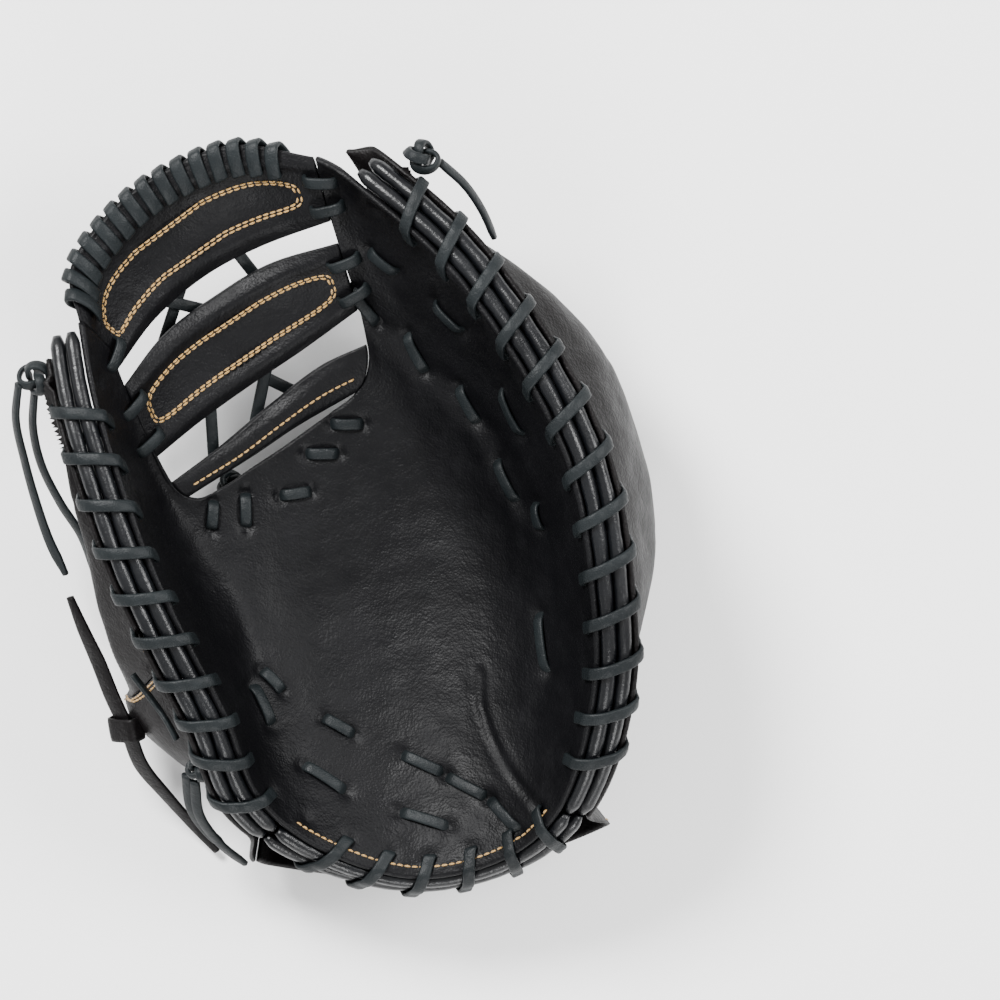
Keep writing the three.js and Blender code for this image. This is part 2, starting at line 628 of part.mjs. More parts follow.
function bandFrame(low, high, a, b) {
  const point = bandPoint(low, high, a, b);
  const [a0, a1] = [Math.max(0, a - STEP), Math.min(1, a + STEP)];
  const [b0, b1] = [Math.max(0, b - STEP), Math.min(1, b + STEP)];
  const along = bandPoint(low, high, a1, b).sub(bandPoint(low, high, a0, b)).normalize();
  const across = bandPoint(low, high, a, b1).sub(bandPoint(low, high, a, b0)).normalize();
  const normal = new THREE.Vector3().crossVectors(along, across).normalize();
  return { point: point.addScaledVector(normal, -LEATHER / 2), along, across, normal };
}

function band(low, high, thick, profile, steps) {
  const length = bandEdges[low].getLength();
  const end = BAND_END / length;
  const stations = Array.from({ length: steps + 1 }, (_, i) => {
    const a = end + ((1 - 2 * end) * i) / steps;
    const taper = 0.45 + 0.55 * smooth(Math.min(a, 1 - a) * length, 0, 2 * PAD_TAPER);
    const above = profile.map(([b, h]) => {
      const { point, normal } = bandFrame(low, high, a, b);
      return point.addScaledVector(normal, (h * taper * thick) / 2);
    });
    const below = profile.map(([b, h]) => {
      const { point, normal } = bandFrame(low, high, a, b);
      return point.addScaledVector(normal, (-h * taper * thick) / 2);
    });
    return [...above, ...below.reverse()];
  });
  const n = stations[0].length;
  const triangles = [];
  for (let i = 0; i < steps; i++) {
    for (let k = 0; k < n; k++) {
      const [a, b] = [i * n + k, i * n + ((k + 1) % n)];
      triangles.push([a, a + n, b], [b, a + n, b + n]);
    }
  }
  const half = n / 2;
  for (let k = 0; k < half - 1; k++) {
    const [a, b, c, d] = [k, k + 1, n - 1 - k, n - 2 - k];
    const end0 = steps * n;
    triangles.push([a, b, c], [b, d, c]);
    triangles.push([end0 + a, end0 + c, end0 + b], [end0 + b, end0 + c, end0 + d]);
  }
  const vertices = stations.flat();
  const made = solidOf(meshOf(vertices, triangles));
  return made.volume() < 0 ? solidOf(meshOf(vertices, triangles.map(([a, b, c]) => [a, c, b]))) : made;
}

solids.set("web_crescent", { solid: band("crescentLow", "crescentHigh", CRESCENT_THICK, TWO_LOBES, 12), material: SHELL });
solids.set("web_bar", { solid: band("barLow", "barHigh", BAR_THICK, TWO_LOBES, 9), material: SHELL });
solids.set("web_base_bar", { solid: band("baseLow", "baseHigh", BASE_THICK, ONE_LOBE, 9), material: SHELL });

// Lace wound round the top of the web, through the crescent.
function topFrame(a) {
  const { point, across, normal } = bandFrame("crescentLow", "crescentHigh", a, 1);
  return { point, out: across, normal };
}
function topLoop() {
  const reach = CRESCENT_THICK / 2 + OFF;
  return [
    [-TOP_INSET, -reach],
    [-TOP_INSET / 4, -reach],
    [OFF * 1.5, -reach * 0.5],
    [OFF * 1.5, reach * 0.5],
    [-TOP_INSET / 4, reach],
    [-TOP_INSET, reach],
  ];
}
const topLace = woundLace([0.07, 0.93], TOP_PITCH, topFrame, topLoop());
solids.set("web_top_lace", { solid: topLace.solid, material: LACE });

// Rings of lace that tie the ends of the bands to the palm's web-side edge.
const TIES = [
  { name: "crescent_thumb_tie", edges: ["crescentLow", "crescentHigh"], a: 0, b: 0.3 },
  { name: "bar_thumb_tie_low", edges: ["barLow", "barHigh"], a: 0, b: 0.25 },
  { name: "bar_thumb_tie_high", edges: ["barLow", "barHigh"], a: 0, b: 0.75 },
  { name: "crescent_finger_tie_low", edges: ["crescentLow", "crescentHigh"], a: 1, b: 0.2 },
  { name: "crescent_finger_tie_high", edges: ["crescentLow", "crescentHigh"], a: 1, b: 0.65 },
  { name: "bar_finger_tie_low", edges: ["barLow", "barHigh"], a: 1, b: 0.25 },
  { name: "bar_finger_tie_high", edges: ["barLow", "barHigh"], a: 1, b: 0.75 },
];
const TIE_REACH = 6.5;
const ties = [];
for (const { name, edges, a, b } of TIES) {
  const { point, along, normal } = bandFrame(...edges, a, b);
  const rise = BAR_THICK / 3 + OFF;
  const ring = [
    [-TIE_REACH, rise * 0.5],
    [-TIE_REACH * 0.5, rise],
    [TIE_REACH * 0.5, rise],
    [TIE_REACH, rise * 0.5],
    [TIE_REACH, -rise * 0.5],
    [TIE_REACH * 0.5, -rise],
    [-TIE_REACH * 0.5, -rise],
    [-TIE_REACH, -rise * 0.5],
  ].map(([x, y]) => new THREE.Vector3().addScaledVector(along, x).addScaledVector(normal, y));
  const made = lace(
    laceStations(ring.map((offset) => point.clone().add(offset)), ring, true),
    true,
  );
  solids.set(name, { solid: made.solid, material: LACE });
  ties.push(made.clear);
}

// Straight laces that cross behind the two gaps of the web.
const CROSSINGS = [
  { name: "upper_cross_lace_1", from: ["crescentLow", "crescentHigh", 0.3, 0.14], to: ["barLow", "barHigh", 0.46, 0.86], deep: 0 },
  { name: "upper_cross_lace_2", from: ["crescentLow", "crescentHigh", 0.5, 0.14], to: ["barLow", "barHigh", 0.26, 0.86], deep: 1 },
  { name: "upper_cross_lace_3", from: ["crescentLow", "crescentHigh", 0.64, 0.14], to: ["barLow", "barHigh", 0.68, 0.86], deep: 0 },
  { name: "lower_cross_lace_1", from: ["barLow", "barHigh", 0.34, 0.14], to: ["baseLow", "baseHigh", 0.2, 0.6], deep: 0 },
  { name: "lower_cross_lace_2", from: ["barLow", "barHigh", 0.62, 0.14], to: ["baseLow", "baseHigh", 0.4, 0.6], deep: 0 },
  { name: "lower_cross_lace_3", from: ["barLow", "barHigh", 0.5, 0.14], to: ["baseLow", "baseHigh", 0.66, 0.6], deep: 1 },
];
const bandThick = { crescentLow: CRESCENT_THICK, barLow: BAR_THICK, baseLow: BASE_THICK };
for (const { name, from, to, deep } of CROSSINGS) {
  const [start, end] = [from, to].map(([low, high, a, b]) => {
    const { point, normal } = bandFrame(low, high, a, b);
    return { point, normal, depth: bandThick[low] / 2 + OFF + deep * (LACE_THICK + GAP) };
  });
  const stations = [-0.1, 0, 0.5, 1, 1.1].map((f) => {
    const normal = start.normal.clone().lerp(end.normal, f).normalize();
    const depth = THREE.MathUtils.lerp(start.depth, end.depth, f);
    return { point: start.point.clone().lerp(end.point, f).addScaledVector(normal, -depth), normal };
  });
  const made = lace(laceStations(stations.map((s) => s.point), stations.map((s) => s.normal)));
  solids.set(name, { solid: made.solid, material: LACE });
}

// Knots of the loose laces: where each lies and the way that it faces.
const KNOTS = {
  thumb_knot: { at: [-120.6, 56.8, 87.4], faces: [-0.5, -0.1, 0.85], size: 1 },
  heel_knot: { at: [-56.6, -100.3, 63], faces: [-0.7, -0.3, 0.6], size: 0.7 },
  top_knot: { at: [34.5, 145, 99], faces: [0.5, 0.5, 0.7], size: 1 },
  web_knot: { at: [-61, 71.2, 55.7], faces: [0, -0.3, -1], size: 0.8 },
  palm_knot: { at: [-43, 14, 38.6], faces: [0, -0.2, -1], size: 0.8 },
};
for (const [name, { at, faces, size }] of Object.entries(KNOTS)) {
  const knot = new THREE.TorusKnotGeometry((KNOT / 2) * size, (KNOT / 4) * size, 18, 4, 2, 3);
  const turn = new THREE.Quaternion().setFromUnitVectors(
    new THREE.Vector3(0, 0, 1),
    new THREE.Vector3(...faces).normalize(),
  );
  knot.applyQuaternion(turn).translate(...at);
  solids.set(name, { solid: merged(knot), material: LACE });
}

// Loose ends: hand-laid points of each one's middle line, with its width and thickness.
const ROUTES = {
  thumb_tail: [[-127.1, 54.3, 86.6], [-128.5, 40, 79], [-125.5, 24, 70], [-121.5, 8, 61], [-116.5, -8, 52], [-110, -22, 45]],
  side_tail: [
    [-120.9, 51.5, 82.9],
    [-122, 37, 71.5],
    [-119, 22, 62],
    [-112, 7, 52],
    [-104, -6, 43],
    [-99, -20, 33],
    [-95, -32, 25],
    [-93, -43, 19],
  ],
  heel_tail_long: [[-57.5, -105.2, 59.7], [-56, -119, 47], [-48, -131, 35], [-38, -139.5, 25]],
  heel_tail_short: [[-61, -102.6, 59.2], [-59.5, -116, 46], [-54, -125, 36], [-47, -132, 27]],
  top_tail: [[41.4, 142.5, 95.8], [51, 134, 88], [58, 124, 80], [63, 113, 72]],
  web_tail_left: [[-64.4, 68.7, 52.2], [-76, 60, 43], [-84, 50, 33], [-89, 38, 29]],
  web_tail_right: [[-60.2, 67.7, 52.7], [-62, 53, 41], [-67, 40, 32], [-74, 29, 28]],
  palm_tail_left: [[-46.7, 11, 36.1], [-58, -2, 26], [-68, -12, 21], [-77, -23, 18]],
  palm_tail_right: [[-42.7, 10, 36], [-48, -7, 25], [-57, -18, 20], [-67, -28, 17]],
};
const TAIL = { width: 4.6, thick: 2 };
const TAIL_FACET = 14; // length of a loose end's straight facets

function flatOval(width, thick) {
  return circle(2, 8).map(([x, y]) => new THREE.Vector2((x * width) / 2, (y * thick) / 2));
}

for (const [name, points] of Object.entries(ROUTES)) {
  const route = curveThrough(points.map((point) => new THREE.Vector3(...point)));
  const steps = Math.max(3, Math.round(route.getLength() / TAIL_FACET));
  const shape = new THREE.Shape(flatOval(TAIL.width, TAIL.thick));
  const tail = new THREE.ExtrudeGeometry(shape, { steps, curveSegments: 1, bevelEnabled: false, extrudePath: route });
  solids.set(name, { solid: merged(tail), material: LACE });
}

// The wrist's adjusting strap: two tapered ends that meet in a keeper on the thumb side of the back.
const KEEPER = { width: 13, room: 1.8, length: 10 };
const STRAP_ENDS = {
  strap_end_upper: {
    points: [[-87.1, -81, 38], [-91.6, -71, 41.9], [-96.8, -57.5, 45.5], [-102.8, -43.9, 50.1], [-108, -31, 53]],
    widths: [1, 1, 0.95, 0.75, 0.4],
  },
  strap_end_lower: {
    points: [[-84.6, -87.5, 34.5], [-79.9, -99.9, 26.8], [-70.1, -112.3, 17.2], [-60, -124.1, 8.7], [-50, -135, 4.5]],
    widths: [1, 1, 0.8, 0.65, 0.4],
  },
};
const STRAP_FACES = new THREE.Vector3(-0.6, -0.3, 0.72).normalize();
for (const [name, { points, widths }] of Object.entries(STRAP_ENDS)) {
  const line = points.map((point) => new THREE.Vector3(...point));
  const stations = laceStations(line, line.map(() => STRAP_FACES));
  const n = 4;
  const rings = stations.map((station, i) => ({ ...station, polygon: rectangle(TAB_WIDTH * widths[i], TAB_THICK) }));
  solids.set(name, { solid: sweepTapered(rings, n), material: REAR });
}

// As sweep, with a polygon of n corners for each station.
function sweepTapered(stations, n) {
  const vertices = stations.flatMap(({ point, across, up, polygon }) =>
    polygon.map(([x, y]) => point.clone().addScaledVector(across, x).addScaledVector(up, y)),
  );
  const triangles = [];
  for (let i = 0; i < stations.length - 1; i++) {
    for (let k = 0; k < n; k++) {
      const [a, b] = [i * n + k, i * n + ((k + 1) % n)];
      triangles.push([a, b, a + n], [a + n, b, b + n]);
    }
  }
  const end = (stations.length - 1) * n;
  for (let k = 1; k < n - 1; k++) triangles.push([0, k + 1, k], [end, end + k, end + k + 1]);
  const made = solidOf(meshOf(vertices, triangles));
  return made.volume() < 0 ? solidOf(meshOf(vertices, triangles.map(([a, b, c]) => [a, c, b]))) : made;
}

// Keeper: a flat ring of leather round the strap.
{
  const [up, down] = [STRAP_ENDS.strap_end_upper.points[0], STRAP_ENDS.strap_end_lower.points[0]];
  const along = new THREE.Vector3(...up).sub(new THREE.Vector3(...down)).normalize();
  const middle = new THREE.Vector3(...up).add(new THREE.Vector3(...down)).divideScalar(2);
  const across = new THREE.Vector3().crossVectors(along, STRAP_FACES).normalize();
  const rise = TAB_THICK / 2 + KEEPER.room;
  const ring = [[-1, -0.4], [-0.75, -1], [0.75, -1], [1, -0.4], [1, 0.4], [0.75, 1], [-0.75, 1], [-1, 0.4]].map(
    ([x, y]) =>
      new THREE.Vector3()
        .addScaledVector(across, (x * KEEPER.width) / 2)
        .addScaledVector(STRAP_FACES, y * rise * 1.4),
  );
  const stations = laceStations(ring.map((offset) => middle.clone().add(offset)), ring, true);
  solids.set("strap_keeper", { solid: sweep(stations, rectangle(KEEPER.length, KEEPER_THICK), true), material: REAR });
}

// Lace along the thumb side of the back that ends in the heel's knot.
const LEAD_LIFT = 8.2; // it bridges the dip beside the rim
const leadStations = [[4.4, 0.72], [4.75, 0.76], [5.1, 0.8], [5.4, 0.84]].map(([section, share]) => {
  const point = backPoint(section, share, -LEAD_LIFT);
  return { point, faces: point.clone().sub(backPoint(section, share, 0)) };
});
solids.set("heel_lead_lace", {
  solid: lace(laceStations(leadStations.map((s) => s.point), leadStations.map((s) => s.faces))).solid,
  material: LACE,
});

// Slits: each lace takes its way through the leather that it binds.
function carve(names, cutters) {
  const cutter = wasm.Manifold.union(cutters);
  for (const name of names) {
    const entry = solids.get(name);
    entry.solid = entry.solid.subtract(cutter);
  }
}
carve(["palm_shell"], [...slits.thumb, ...slits.heel, ...slits.finger, ...ties]);
carve(["thumb_back", "wrist_back", "finger_back"], [...slits.thumb, ...slits.finger, ...slits.edge]);
carve(["wrist_back", "finger_back"], [strapRoom, holePlug()]);
carve(["wrist_back"], [rimRoll(RIM.thumb.rolls, 1, GAP)]);
carve(["web_crescent"], [...topLace.slits, ...ties]);
carve(["web_bar", "web_base_bar"], ties);
carve(["web_crescent", "web_bar", "web_base_bar"], [palmRoom]);

// The largest body of a solid: slits can free small crumbs of leather.
function largest(solid) {
  return solid.decompose().reduce((most, body) => (body.volume() > most.volume() ? body : most));
}

const CLOSE = 0.3; // corners of a skin that lie this near to a flat are dropped
const inner = new THREE.Group();
for (const [name, { solid, material: finish }] of solids) {
  const skin = finish === SHELL || finish === REAR;
  const { vertProperties, triVerts } = largest(solid.simplify(skin ? CLOSE : CLOSE / 10)).getMesh();
  const geometry = new THREE.BufferGeometry();
  geometry.setAttribute("position", new THREE.BufferAttribute(vertProperties, 3));
  geometry.setIndex(new THREE.BufferAttribute(triVerts, 1));
  const mesh = new THREE.Mesh(geometry, finish);
  mesh.name = name;
  inner.add(mesh);
}

// Origin at the middle of the underside of the mitt without its loose ends.
const body = new THREE.Box3();
for (const mesh of inner.children) {
  if (!(mesh.name in ROUTES) && !(mesh.name in STRAP_ENDS)) body.expandByObject(mesh);
}
const middle = body.getCenter(new THREE.Vector3());
inner.position.set(-middle.x, -middle.y, -body.min.z);
mitt.add(inner);

export default mitt;
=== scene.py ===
"""First baseman's mitt for the left hand, lying on its back with the pocket up.

Lengths are millimetres in the part's own design frame until a mesh is made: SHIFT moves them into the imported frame.
"""
import math

import bpy
import numpy as np
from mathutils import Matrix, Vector
from mathutils.bvhtree import BVHTree


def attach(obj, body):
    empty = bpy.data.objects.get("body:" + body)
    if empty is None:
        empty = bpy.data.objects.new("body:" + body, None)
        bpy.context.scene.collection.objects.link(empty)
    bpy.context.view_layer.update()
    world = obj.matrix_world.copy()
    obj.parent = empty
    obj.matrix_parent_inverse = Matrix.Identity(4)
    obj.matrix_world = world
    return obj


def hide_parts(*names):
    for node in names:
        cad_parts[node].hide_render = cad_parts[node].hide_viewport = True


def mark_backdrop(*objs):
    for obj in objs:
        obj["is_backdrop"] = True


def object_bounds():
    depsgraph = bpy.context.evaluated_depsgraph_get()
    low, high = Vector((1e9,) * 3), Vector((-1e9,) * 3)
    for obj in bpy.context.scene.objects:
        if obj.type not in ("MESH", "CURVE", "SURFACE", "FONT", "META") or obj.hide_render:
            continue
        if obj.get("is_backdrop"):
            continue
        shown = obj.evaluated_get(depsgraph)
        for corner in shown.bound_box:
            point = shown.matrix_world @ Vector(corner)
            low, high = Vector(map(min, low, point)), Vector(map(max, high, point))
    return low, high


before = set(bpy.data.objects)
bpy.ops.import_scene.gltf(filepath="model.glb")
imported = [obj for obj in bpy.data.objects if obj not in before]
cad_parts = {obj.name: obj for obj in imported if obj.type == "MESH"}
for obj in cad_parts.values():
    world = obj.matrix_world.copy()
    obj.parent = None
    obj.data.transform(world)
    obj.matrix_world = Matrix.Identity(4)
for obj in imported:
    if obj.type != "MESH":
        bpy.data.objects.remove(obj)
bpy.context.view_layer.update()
MM = 0.001
SHIFT = np.array([0.849, -0.131, 0.0])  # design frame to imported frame

# Sizes and tables, as in the part's source.
LENGTH, WIDTH, HEIGHT = 306, 234, 122
LEATHER, PAD, PAD_TAPER, HEEL_PAD, HAND_ROOM = 2.4, 6, 16, 11, 32
GAP, LACE_GAP, FLAT, FULL_ROOM = 0.4, 1.0, 11, 0.22
ROLL, LACE_WIDTH, LACE_THICK = 6, 5, 1.8
RIM_INSET, RIM_PITCH, EDGE_INSET, EDGE_PITCH, TOP_PITCH, TOP_INSET = 8.5, 20, 7, 17, 8, 12
CRESCENT_THICK, BAR_THICK, BASE_THICK = 8, 8.5, 8
STRAP_THICK, PATCH_THICK, BINDING, KNOT = 3, 1.2, 7, 8
TAB_WIDTH, TAB_THICK, TUCK = 8, 2, 12

# One row for each section of the palm: its web end, rim end, two floor heights, bend, bare share and room.
FAN = [
    ((-0.385, 0.222, 0.672), (-0.431, 0.258, 0.787), (0.705, 0.738), 0.67, 0.5, 0),
    ((-0.364, 0.176, 0.623), (-0.409, 0.167, 0.828), (0.656, 0.705), 0.67, 0.5, 0.12),
    ((-0.326, 0.104, 0.525), (-0.374, 0.076, 0.852), (0.508, 0.623), 0.7, 0.42, 0.3),
    ((-0.285, 0.044, 0.443), (-0.32, -0.042, 0.861), (0.393, 0.525), 0.72, 0.34, 0.45),
    ((-0.241, 0.026, 0.402), (-0.258, -0.146, 0.828), (0.344, 0.41), 0.72, 0.32, 0.65),
    ((-0.193, 0.044, 0.377), (-0.186, -0.256, 0.754), (0.336, 0.377), 0.72, 0.3, 0.95),
    ((-0.149, 0.067, 0.369), (-0.128, -0.366, 0.615), (0.328, 0.352), 0.7, 0.28, 1.12),
    ((-0.101, 0.091, 0.361), (-0.015, -0.436, 0.5), (0.29, 0.335), 0.67, 0.25, 1.05),
    ((-0.055, 0.116, 0.361), (0.133, -0.47, 0.467), (0.275, 0.33), 0.67, 0.23, 1.1),
    ((-0.012, 0.14, 0.369), (0.279, -0.446, 0.516), (0.275, 0.33), 0.67, 0.2, 1.1),
    ((0.026, 0.162, 0.385), (0.374, -0.381, 0.648), (0.285, 0.335), 0.72, 0.17, 1.15),
    ((0.05, 0.193, 0.41), (0.426, -0.264, 0.811), (0.3, 0.35), 0.78, 0.15, 1.25),
    ((0.05, 0.235, 0.459), (0.436, -0.131, 0.918), (0.361, 0.41), 0.82, 0.19, 1.3),
    ((0.022, 0.313, 0.574), (0.385, 0.085, 1.0), (0.459, 0.525), 0.82, 0.28, 0.9),
    ((-0.012, 0.398, 0.697), (0.21, 0.307, 0.943), (0.656, 0.713), 0.75, 0.27, 0.25),
    ((-0.036, 0.47, 0.787), (0.002, 0.454, 0.828), (0.795, 0.811), 0.67, 0.5, 0),
]
LAST = len(FAN) - 1
RIM = {
    "thumb": dict(rolls=(0.1, 6.38), lace=(0.8, 6.1), layers=2, back=True),
    "heel": dict(rolls=(6.42, 9.98), lace=(6.65, 9.8), layers=1, back=True),
    "finger": dict(rolls=(10.02, 14.9), lace=(10.5, 14.7), layers=2, back=False),
}
EDGE_ROLL = (2.2, 14.1)
MOUTH = (6.3, 6.9, 9.5, 10)
BACK = dict(start=0.4, end=14.95, finger_seam=9.7)
STRAP = dict(start=6.75, end=9.75, top=0.66)
HOLE = dict(section=7.35, along=0.46, half=0.62, tall=0.15)
SEAM = np.array([(3.5, 1.08), (4.1, 0.88), (5, 0.57), (6, 0.34), (7.2, 0.21), (8.3, 0.13), (9.74, 0.05)])
WEB_EDGES = {
    "baseLow": (3.6, 10.2, [(-0.149, 0.083, 0.385), (-0.067, 0.125, 0.385)]),
    "baseHigh": (2.95, 11.9, [(-0.2, 0.095, 0.43), (-0.115, 0.15, 0.418), (-0.03, 0.2, 0.43)]),
    "barLow": (2.35, 12.55, [(-0.234, 0.131, 0.459), (-0.149, 0.178, 0.443), (-0.063, 0.222, 0.467)]),
    "barHigh": (1.05, 13.55, [(-0.294, 0.242, 0.566), (-0.209, 0.292, 0.541), (-0.115, 0.334, 0.566)]),
    "crescentLow": (0.6, 13.9, [(-0.311, 0.264, 0.598), (-0.226, 0.32, 0.574), (-0.128, 0.359, 0.598)]),
    "crescentHigh": (
        -1,
        15,
        [(-0.448, 0.325, 0.78), (-0.395, 0.39, 0.76), (-0.31, 0.445, 0.75), (-0.18, 0.485, 0.765)],
    ),
}
TWO_LOBES = [(0, 0.3), (0.14, 1), (0.32, 0.5), (0.68, 0.5), (0.86, 1), (1, 0.3)]
ONE_LOBE = [(0, 0.35), (0.25, 0.95), (0.75, 0.95), (1, 0.35)]
STEP = 0.02

# Routes of the loose ends, repeated from the part's source.
ROUTES = {
    "thumb_tail": [(-127.1, 54.3, 86.6), (-128.5, 40, 79), (-125.5, 24, 70), (-121.5, 8, 61), (-116.5, -8, 52),
                   (-110, -22, 45)],
    "side_tail": [(-120.9, 51.5, 82.9), (-122, 37, 71.5), (-119, 22, 62), (-112, 7, 52), (-104, -6, 43),
                  (-99, -20, 33), (-95, -32, 25), (-93, -43, 19)],
    "heel_tail_long": [(-57.5, -105.2, 59.7), (-56, -119, 47), (-48, -131, 35), (-38, -139.5, 25)],
    "heel_tail_short": [(-61, -102.6, 59.2), (-59.5, -116, 46), (-54, -125, 36), (-47, -132, 27)],
    "top_tail": [(41.4, 142.5, 95.8), (51, 134, 88), (58, 124, 80), (63, 113, 72)],
    "web_tail_left": [(-64.4, 68.7, 52.2), (-76, 60, 43), (-84, 50, 33), (-89, 38, 29)],
    "web_tail_right": [(-60.2, 67.7, 52.7), (-62, 53, 41), (-67, 40, 32), (-74, 29, 28)],
    "palm_tail_left": [(-46.7, 11, 36.1), (-58, -2, 26), (-68, -12, 21), (-77, -23, 18)],
    "palm_tail_right": [(-42.7, 10, 36), (-48, -7, 25), (-57, -18, 20), (-67, -28, 17)],
}
STRAP_ENDS = {
    "strap_end_upper": ([(-87.1, -81, 38), (-91.6, -71, 41.9), (-96.8, -57.5, 45.5), (-102.8, -43.9, 50.1),
                         (-108, -31, 53)], (1, 1, 0.95, 0.75, 0.4)),
    "strap_end_lower": ([(-84.6, -87.5, 34.5), (-79.9, -99.9, 26.8), (-70.1, -112.3, 17.2), (-60, -124.1, 8.7),
                         (-50, -135, 4.5)], (1, 1, 0.8, 0.65, 0.4)),
}
STRAP_FACES = np.array((-0.6, -0.3, 0.72))
TAIL_WIDTH, TAIL_THICK = 4.6, 2
KNOTS = {
    "thumb_knot": ((-120.6, 56.8, 87.4), (-0.5, -0.1, 0.85), 1),
    "heel_knot": ((-56.6, -100.3, 63), (-0.7, -0.3, 0.6), 0.7),
    "top_knot": ((34.5, 145, 99), (0.5, 0.5, 0.7), 1),
    "web_knot": ((-61, 71.2, 55.7), (0, -0.3, -1), 0.8),
    "palm_knot": ((-43, 14, 38.6), (0, -0.2, -1), 0.8),
}


def unit(v):
    return v / np.maximum(np.linalg.norm(v, axis=-1, keepdims=True), 1e-9)


def smooth(x, low, high):
    t = np.clip((x - low) / (high - low), 0, 1)
    return t * t * (3 - 2 * t)


def lerp(a, b, t):
    return a + (b - a) * t


def col(x):
    return np.asarray(x)[..., None]


def catmull(points, share):
    """Points of the curve through the given points, at shares of the way along them."""
    p = np.asarray(points, float)
    p = np.vstack([2 * p[0] - p[1], p, 2 * p[-1] - p[-2]])
    n = len(p) - 3
    x = np.clip(share, 0, 1) * n
    i = np.minimum(np.floor(x).astype(int), n - 1)
    w = col(x - i)
    a, b, c, d = p[i], p[i + 1], p[i + 2], p[i + 3]
    ta, tb = (c - a) / 2, (d - b) / 2
    return b + ta * w + (3 * (c - b) - 2 * ta - tb) * w**2 + (2 * (b - c) + ta + tb) * w**3


def place(p):
    return np.asarray(p, float) * (WIDTH, LENGTH, HEIGHT)


WEB_ENDS = np.array([place(r[0]) for r in FAN])
RIM_ENDS = np.array([place(r[1]) for r in FAN])
FLOORS = []
for k in (0, 1):
    pts = [lerp(WEB_ENDS[i], RIM_ENDS[i], FAN[i][3] if k else 1 / 3) for i in range(len(FAN))]
    for i, p in enumerate(pts):
        p[2] = FAN[i][2][k] * HEIGHT
    FLOORS.append(np.array(pts))
COVER = np.array([(r[4], r[5]) for r in FAN], float)


def on_fan(points, section):
    return catmull(points, np.clip(section, 0, LAST) / LAST)


def bezier(ends, t):
    t = col(t)
    a, b, c, d = ends
    return a * (1 - t) ** 3 + 3 * b * t * (1 - t) ** 2 + 3 * c * t * t * (1 - t) + d * t**3


def palm_point(section, t):
    section, t = np.broadcast_arrays(np.asarray(section, float), np.asarray(t, float))
    return bezier([on_fan(p, section) for p in (WEB_ENDS, *FLOORS, RIM_ENDS)], t)


_rows = np.linspace(0, LAST, 601)
_way = palm_point(_rows[:, None], np.linspace(0, 1, 61)[None])
_lengths = np.linalg.norm(np.diff(_way, axis=1), axis=-1).sum(1)


def section_length(section):
    return np.interp(section, _rows, _lengths)


def palm_frame(section, t):
    section, t = np.broadcast_arrays(np.asarray(section, float), np.asarray(t, float))
    s, edge = np.clip(section, 0, LAST), np.clip(t, 0, 1)
    slope = unit(palm_point(s, np.minimum(1, edge + STEP)) - palm_point(s, np.maximum(0, edge - STEP)))
    along = unit(palm_point(np.minimum(LAST, s + STEP), edge) - palm_point(np.maximum(0, s - STEP), edge))
    normal = np.cross(slope, along)
    lean = np.linalg.norm(normal, axis=-1)
    normal = unit(normal)
    out = np.cross(along, normal)
    point = palm_point(s, edge) + slope * col((t - edge) * section_length(s))
    return point, out, normal, lean, along


def palm_thickness(section, t):
    length = section_length(section)
    bare = on_fan(COVER, section)[..., 0]
    from_rim = (1 - t) * length * palm_frame(section, 1.0)[3] - RIM_INSET - LACE_WIDTH / 2
    from_edge = (t - bare) * length * palm_frame(section, bare)[3] - EDGE_INSET - 2 * LACE_WIDTH
    heel = smooth(section, 5, 7) * (1 - smooth(section, 9.5, 11.5)) * smooth(t, 0.35, 0.7)
    return LEATHER + (PAD + HEEL_PAD * heel) * smooth(from_rim, 0, PAD_TAPER) * smooth(from_edge, 0, PAD_TAPER)


def mouth_at(section):
    return smooth(section, MOUTH[0], MOUTH[1]) * (1 - smooth(section, MOUTH[2], MOUTH[3]))


EDGE_ROOM = LACE_THICK + 2 * LACE_GAP + GAP + ROLL - LEATHER
RIM_ROOM = 2 * ROLL + 4 * GAP


def hollow(section, share):
    cover = on_fan(COVER, section)
    bare, room = cover[..., 0], cover[..., 1]
    length = (1 - bare) * section_length(section)
    inner = FLAT / palm_frame(section, bare)[3]
    outer = FLAT / palm_frame(section, 1.0)[3]
    way = np.clip((share * length - inner) / np.maximum(1, length - inner - outer), 0, 1)
    closed = smooth(way, 0, FULL_ROOM) * (1 - smooth(way, 0.5, 1))
    bulge = lerp(closed, smooth(way, 0, FULL_ROOM), mouth_at(section))
    return lerp(EDGE_ROOM, RIM_ROOM, smooth(share, 0, 1)) + HAND_ROOM * np.maximum(0, room) * bulge


def back_point(section, share, lift):
    section, share, lift = np.broadcast_arrays(*(np.asarray(x, float) for x in (section, share, lift)))
    bare = on_fan(COVER, section)[..., 0]
    t = bare + (1 - bare) * share
    point, out, normal, _, _ = palm_frame(section, t)
    depth = palm_thickness(section, t) + hollow(section, share) + LEATHER - lift
    point = point - normal * col(depth) - out * col(TUCK * mouth_at(section) * share)
    point[..., 2] = np.maximum(point[..., 2], np.maximum(lift, 0.05))
    return point


def even_sections(span, pitch, per_turn, point_at):
    rows = np.linspace(*span, 401)
    gone = np.concatenate([[0], np.cumsum(np.linalg.norm(np.diff(point_at(rows), axis=0), axis=-1))])
    turns = max(1, round(gone[-1] / pitch))
    return np.interp(np.linspace(0, gone[-1], turns * per_turn + 1), gone, rows)


def waves(points, seed, size, count=9):
    """A smooth uneven field, about -1 to 1, with waves of about that size in millimetres."""
    rng = np.random.default_rng(seed)
    total = np.zeros(points.shape[:-1])
    for _ in range(count):
        way = unit(rng.normal(size=3)) * rng.uniform(0.6, 1.7) * 2 * math.pi / size
        total += np.sin(points @ way + rng.uniform(0, 6.28))
    return total / count**0.5 / 1.4


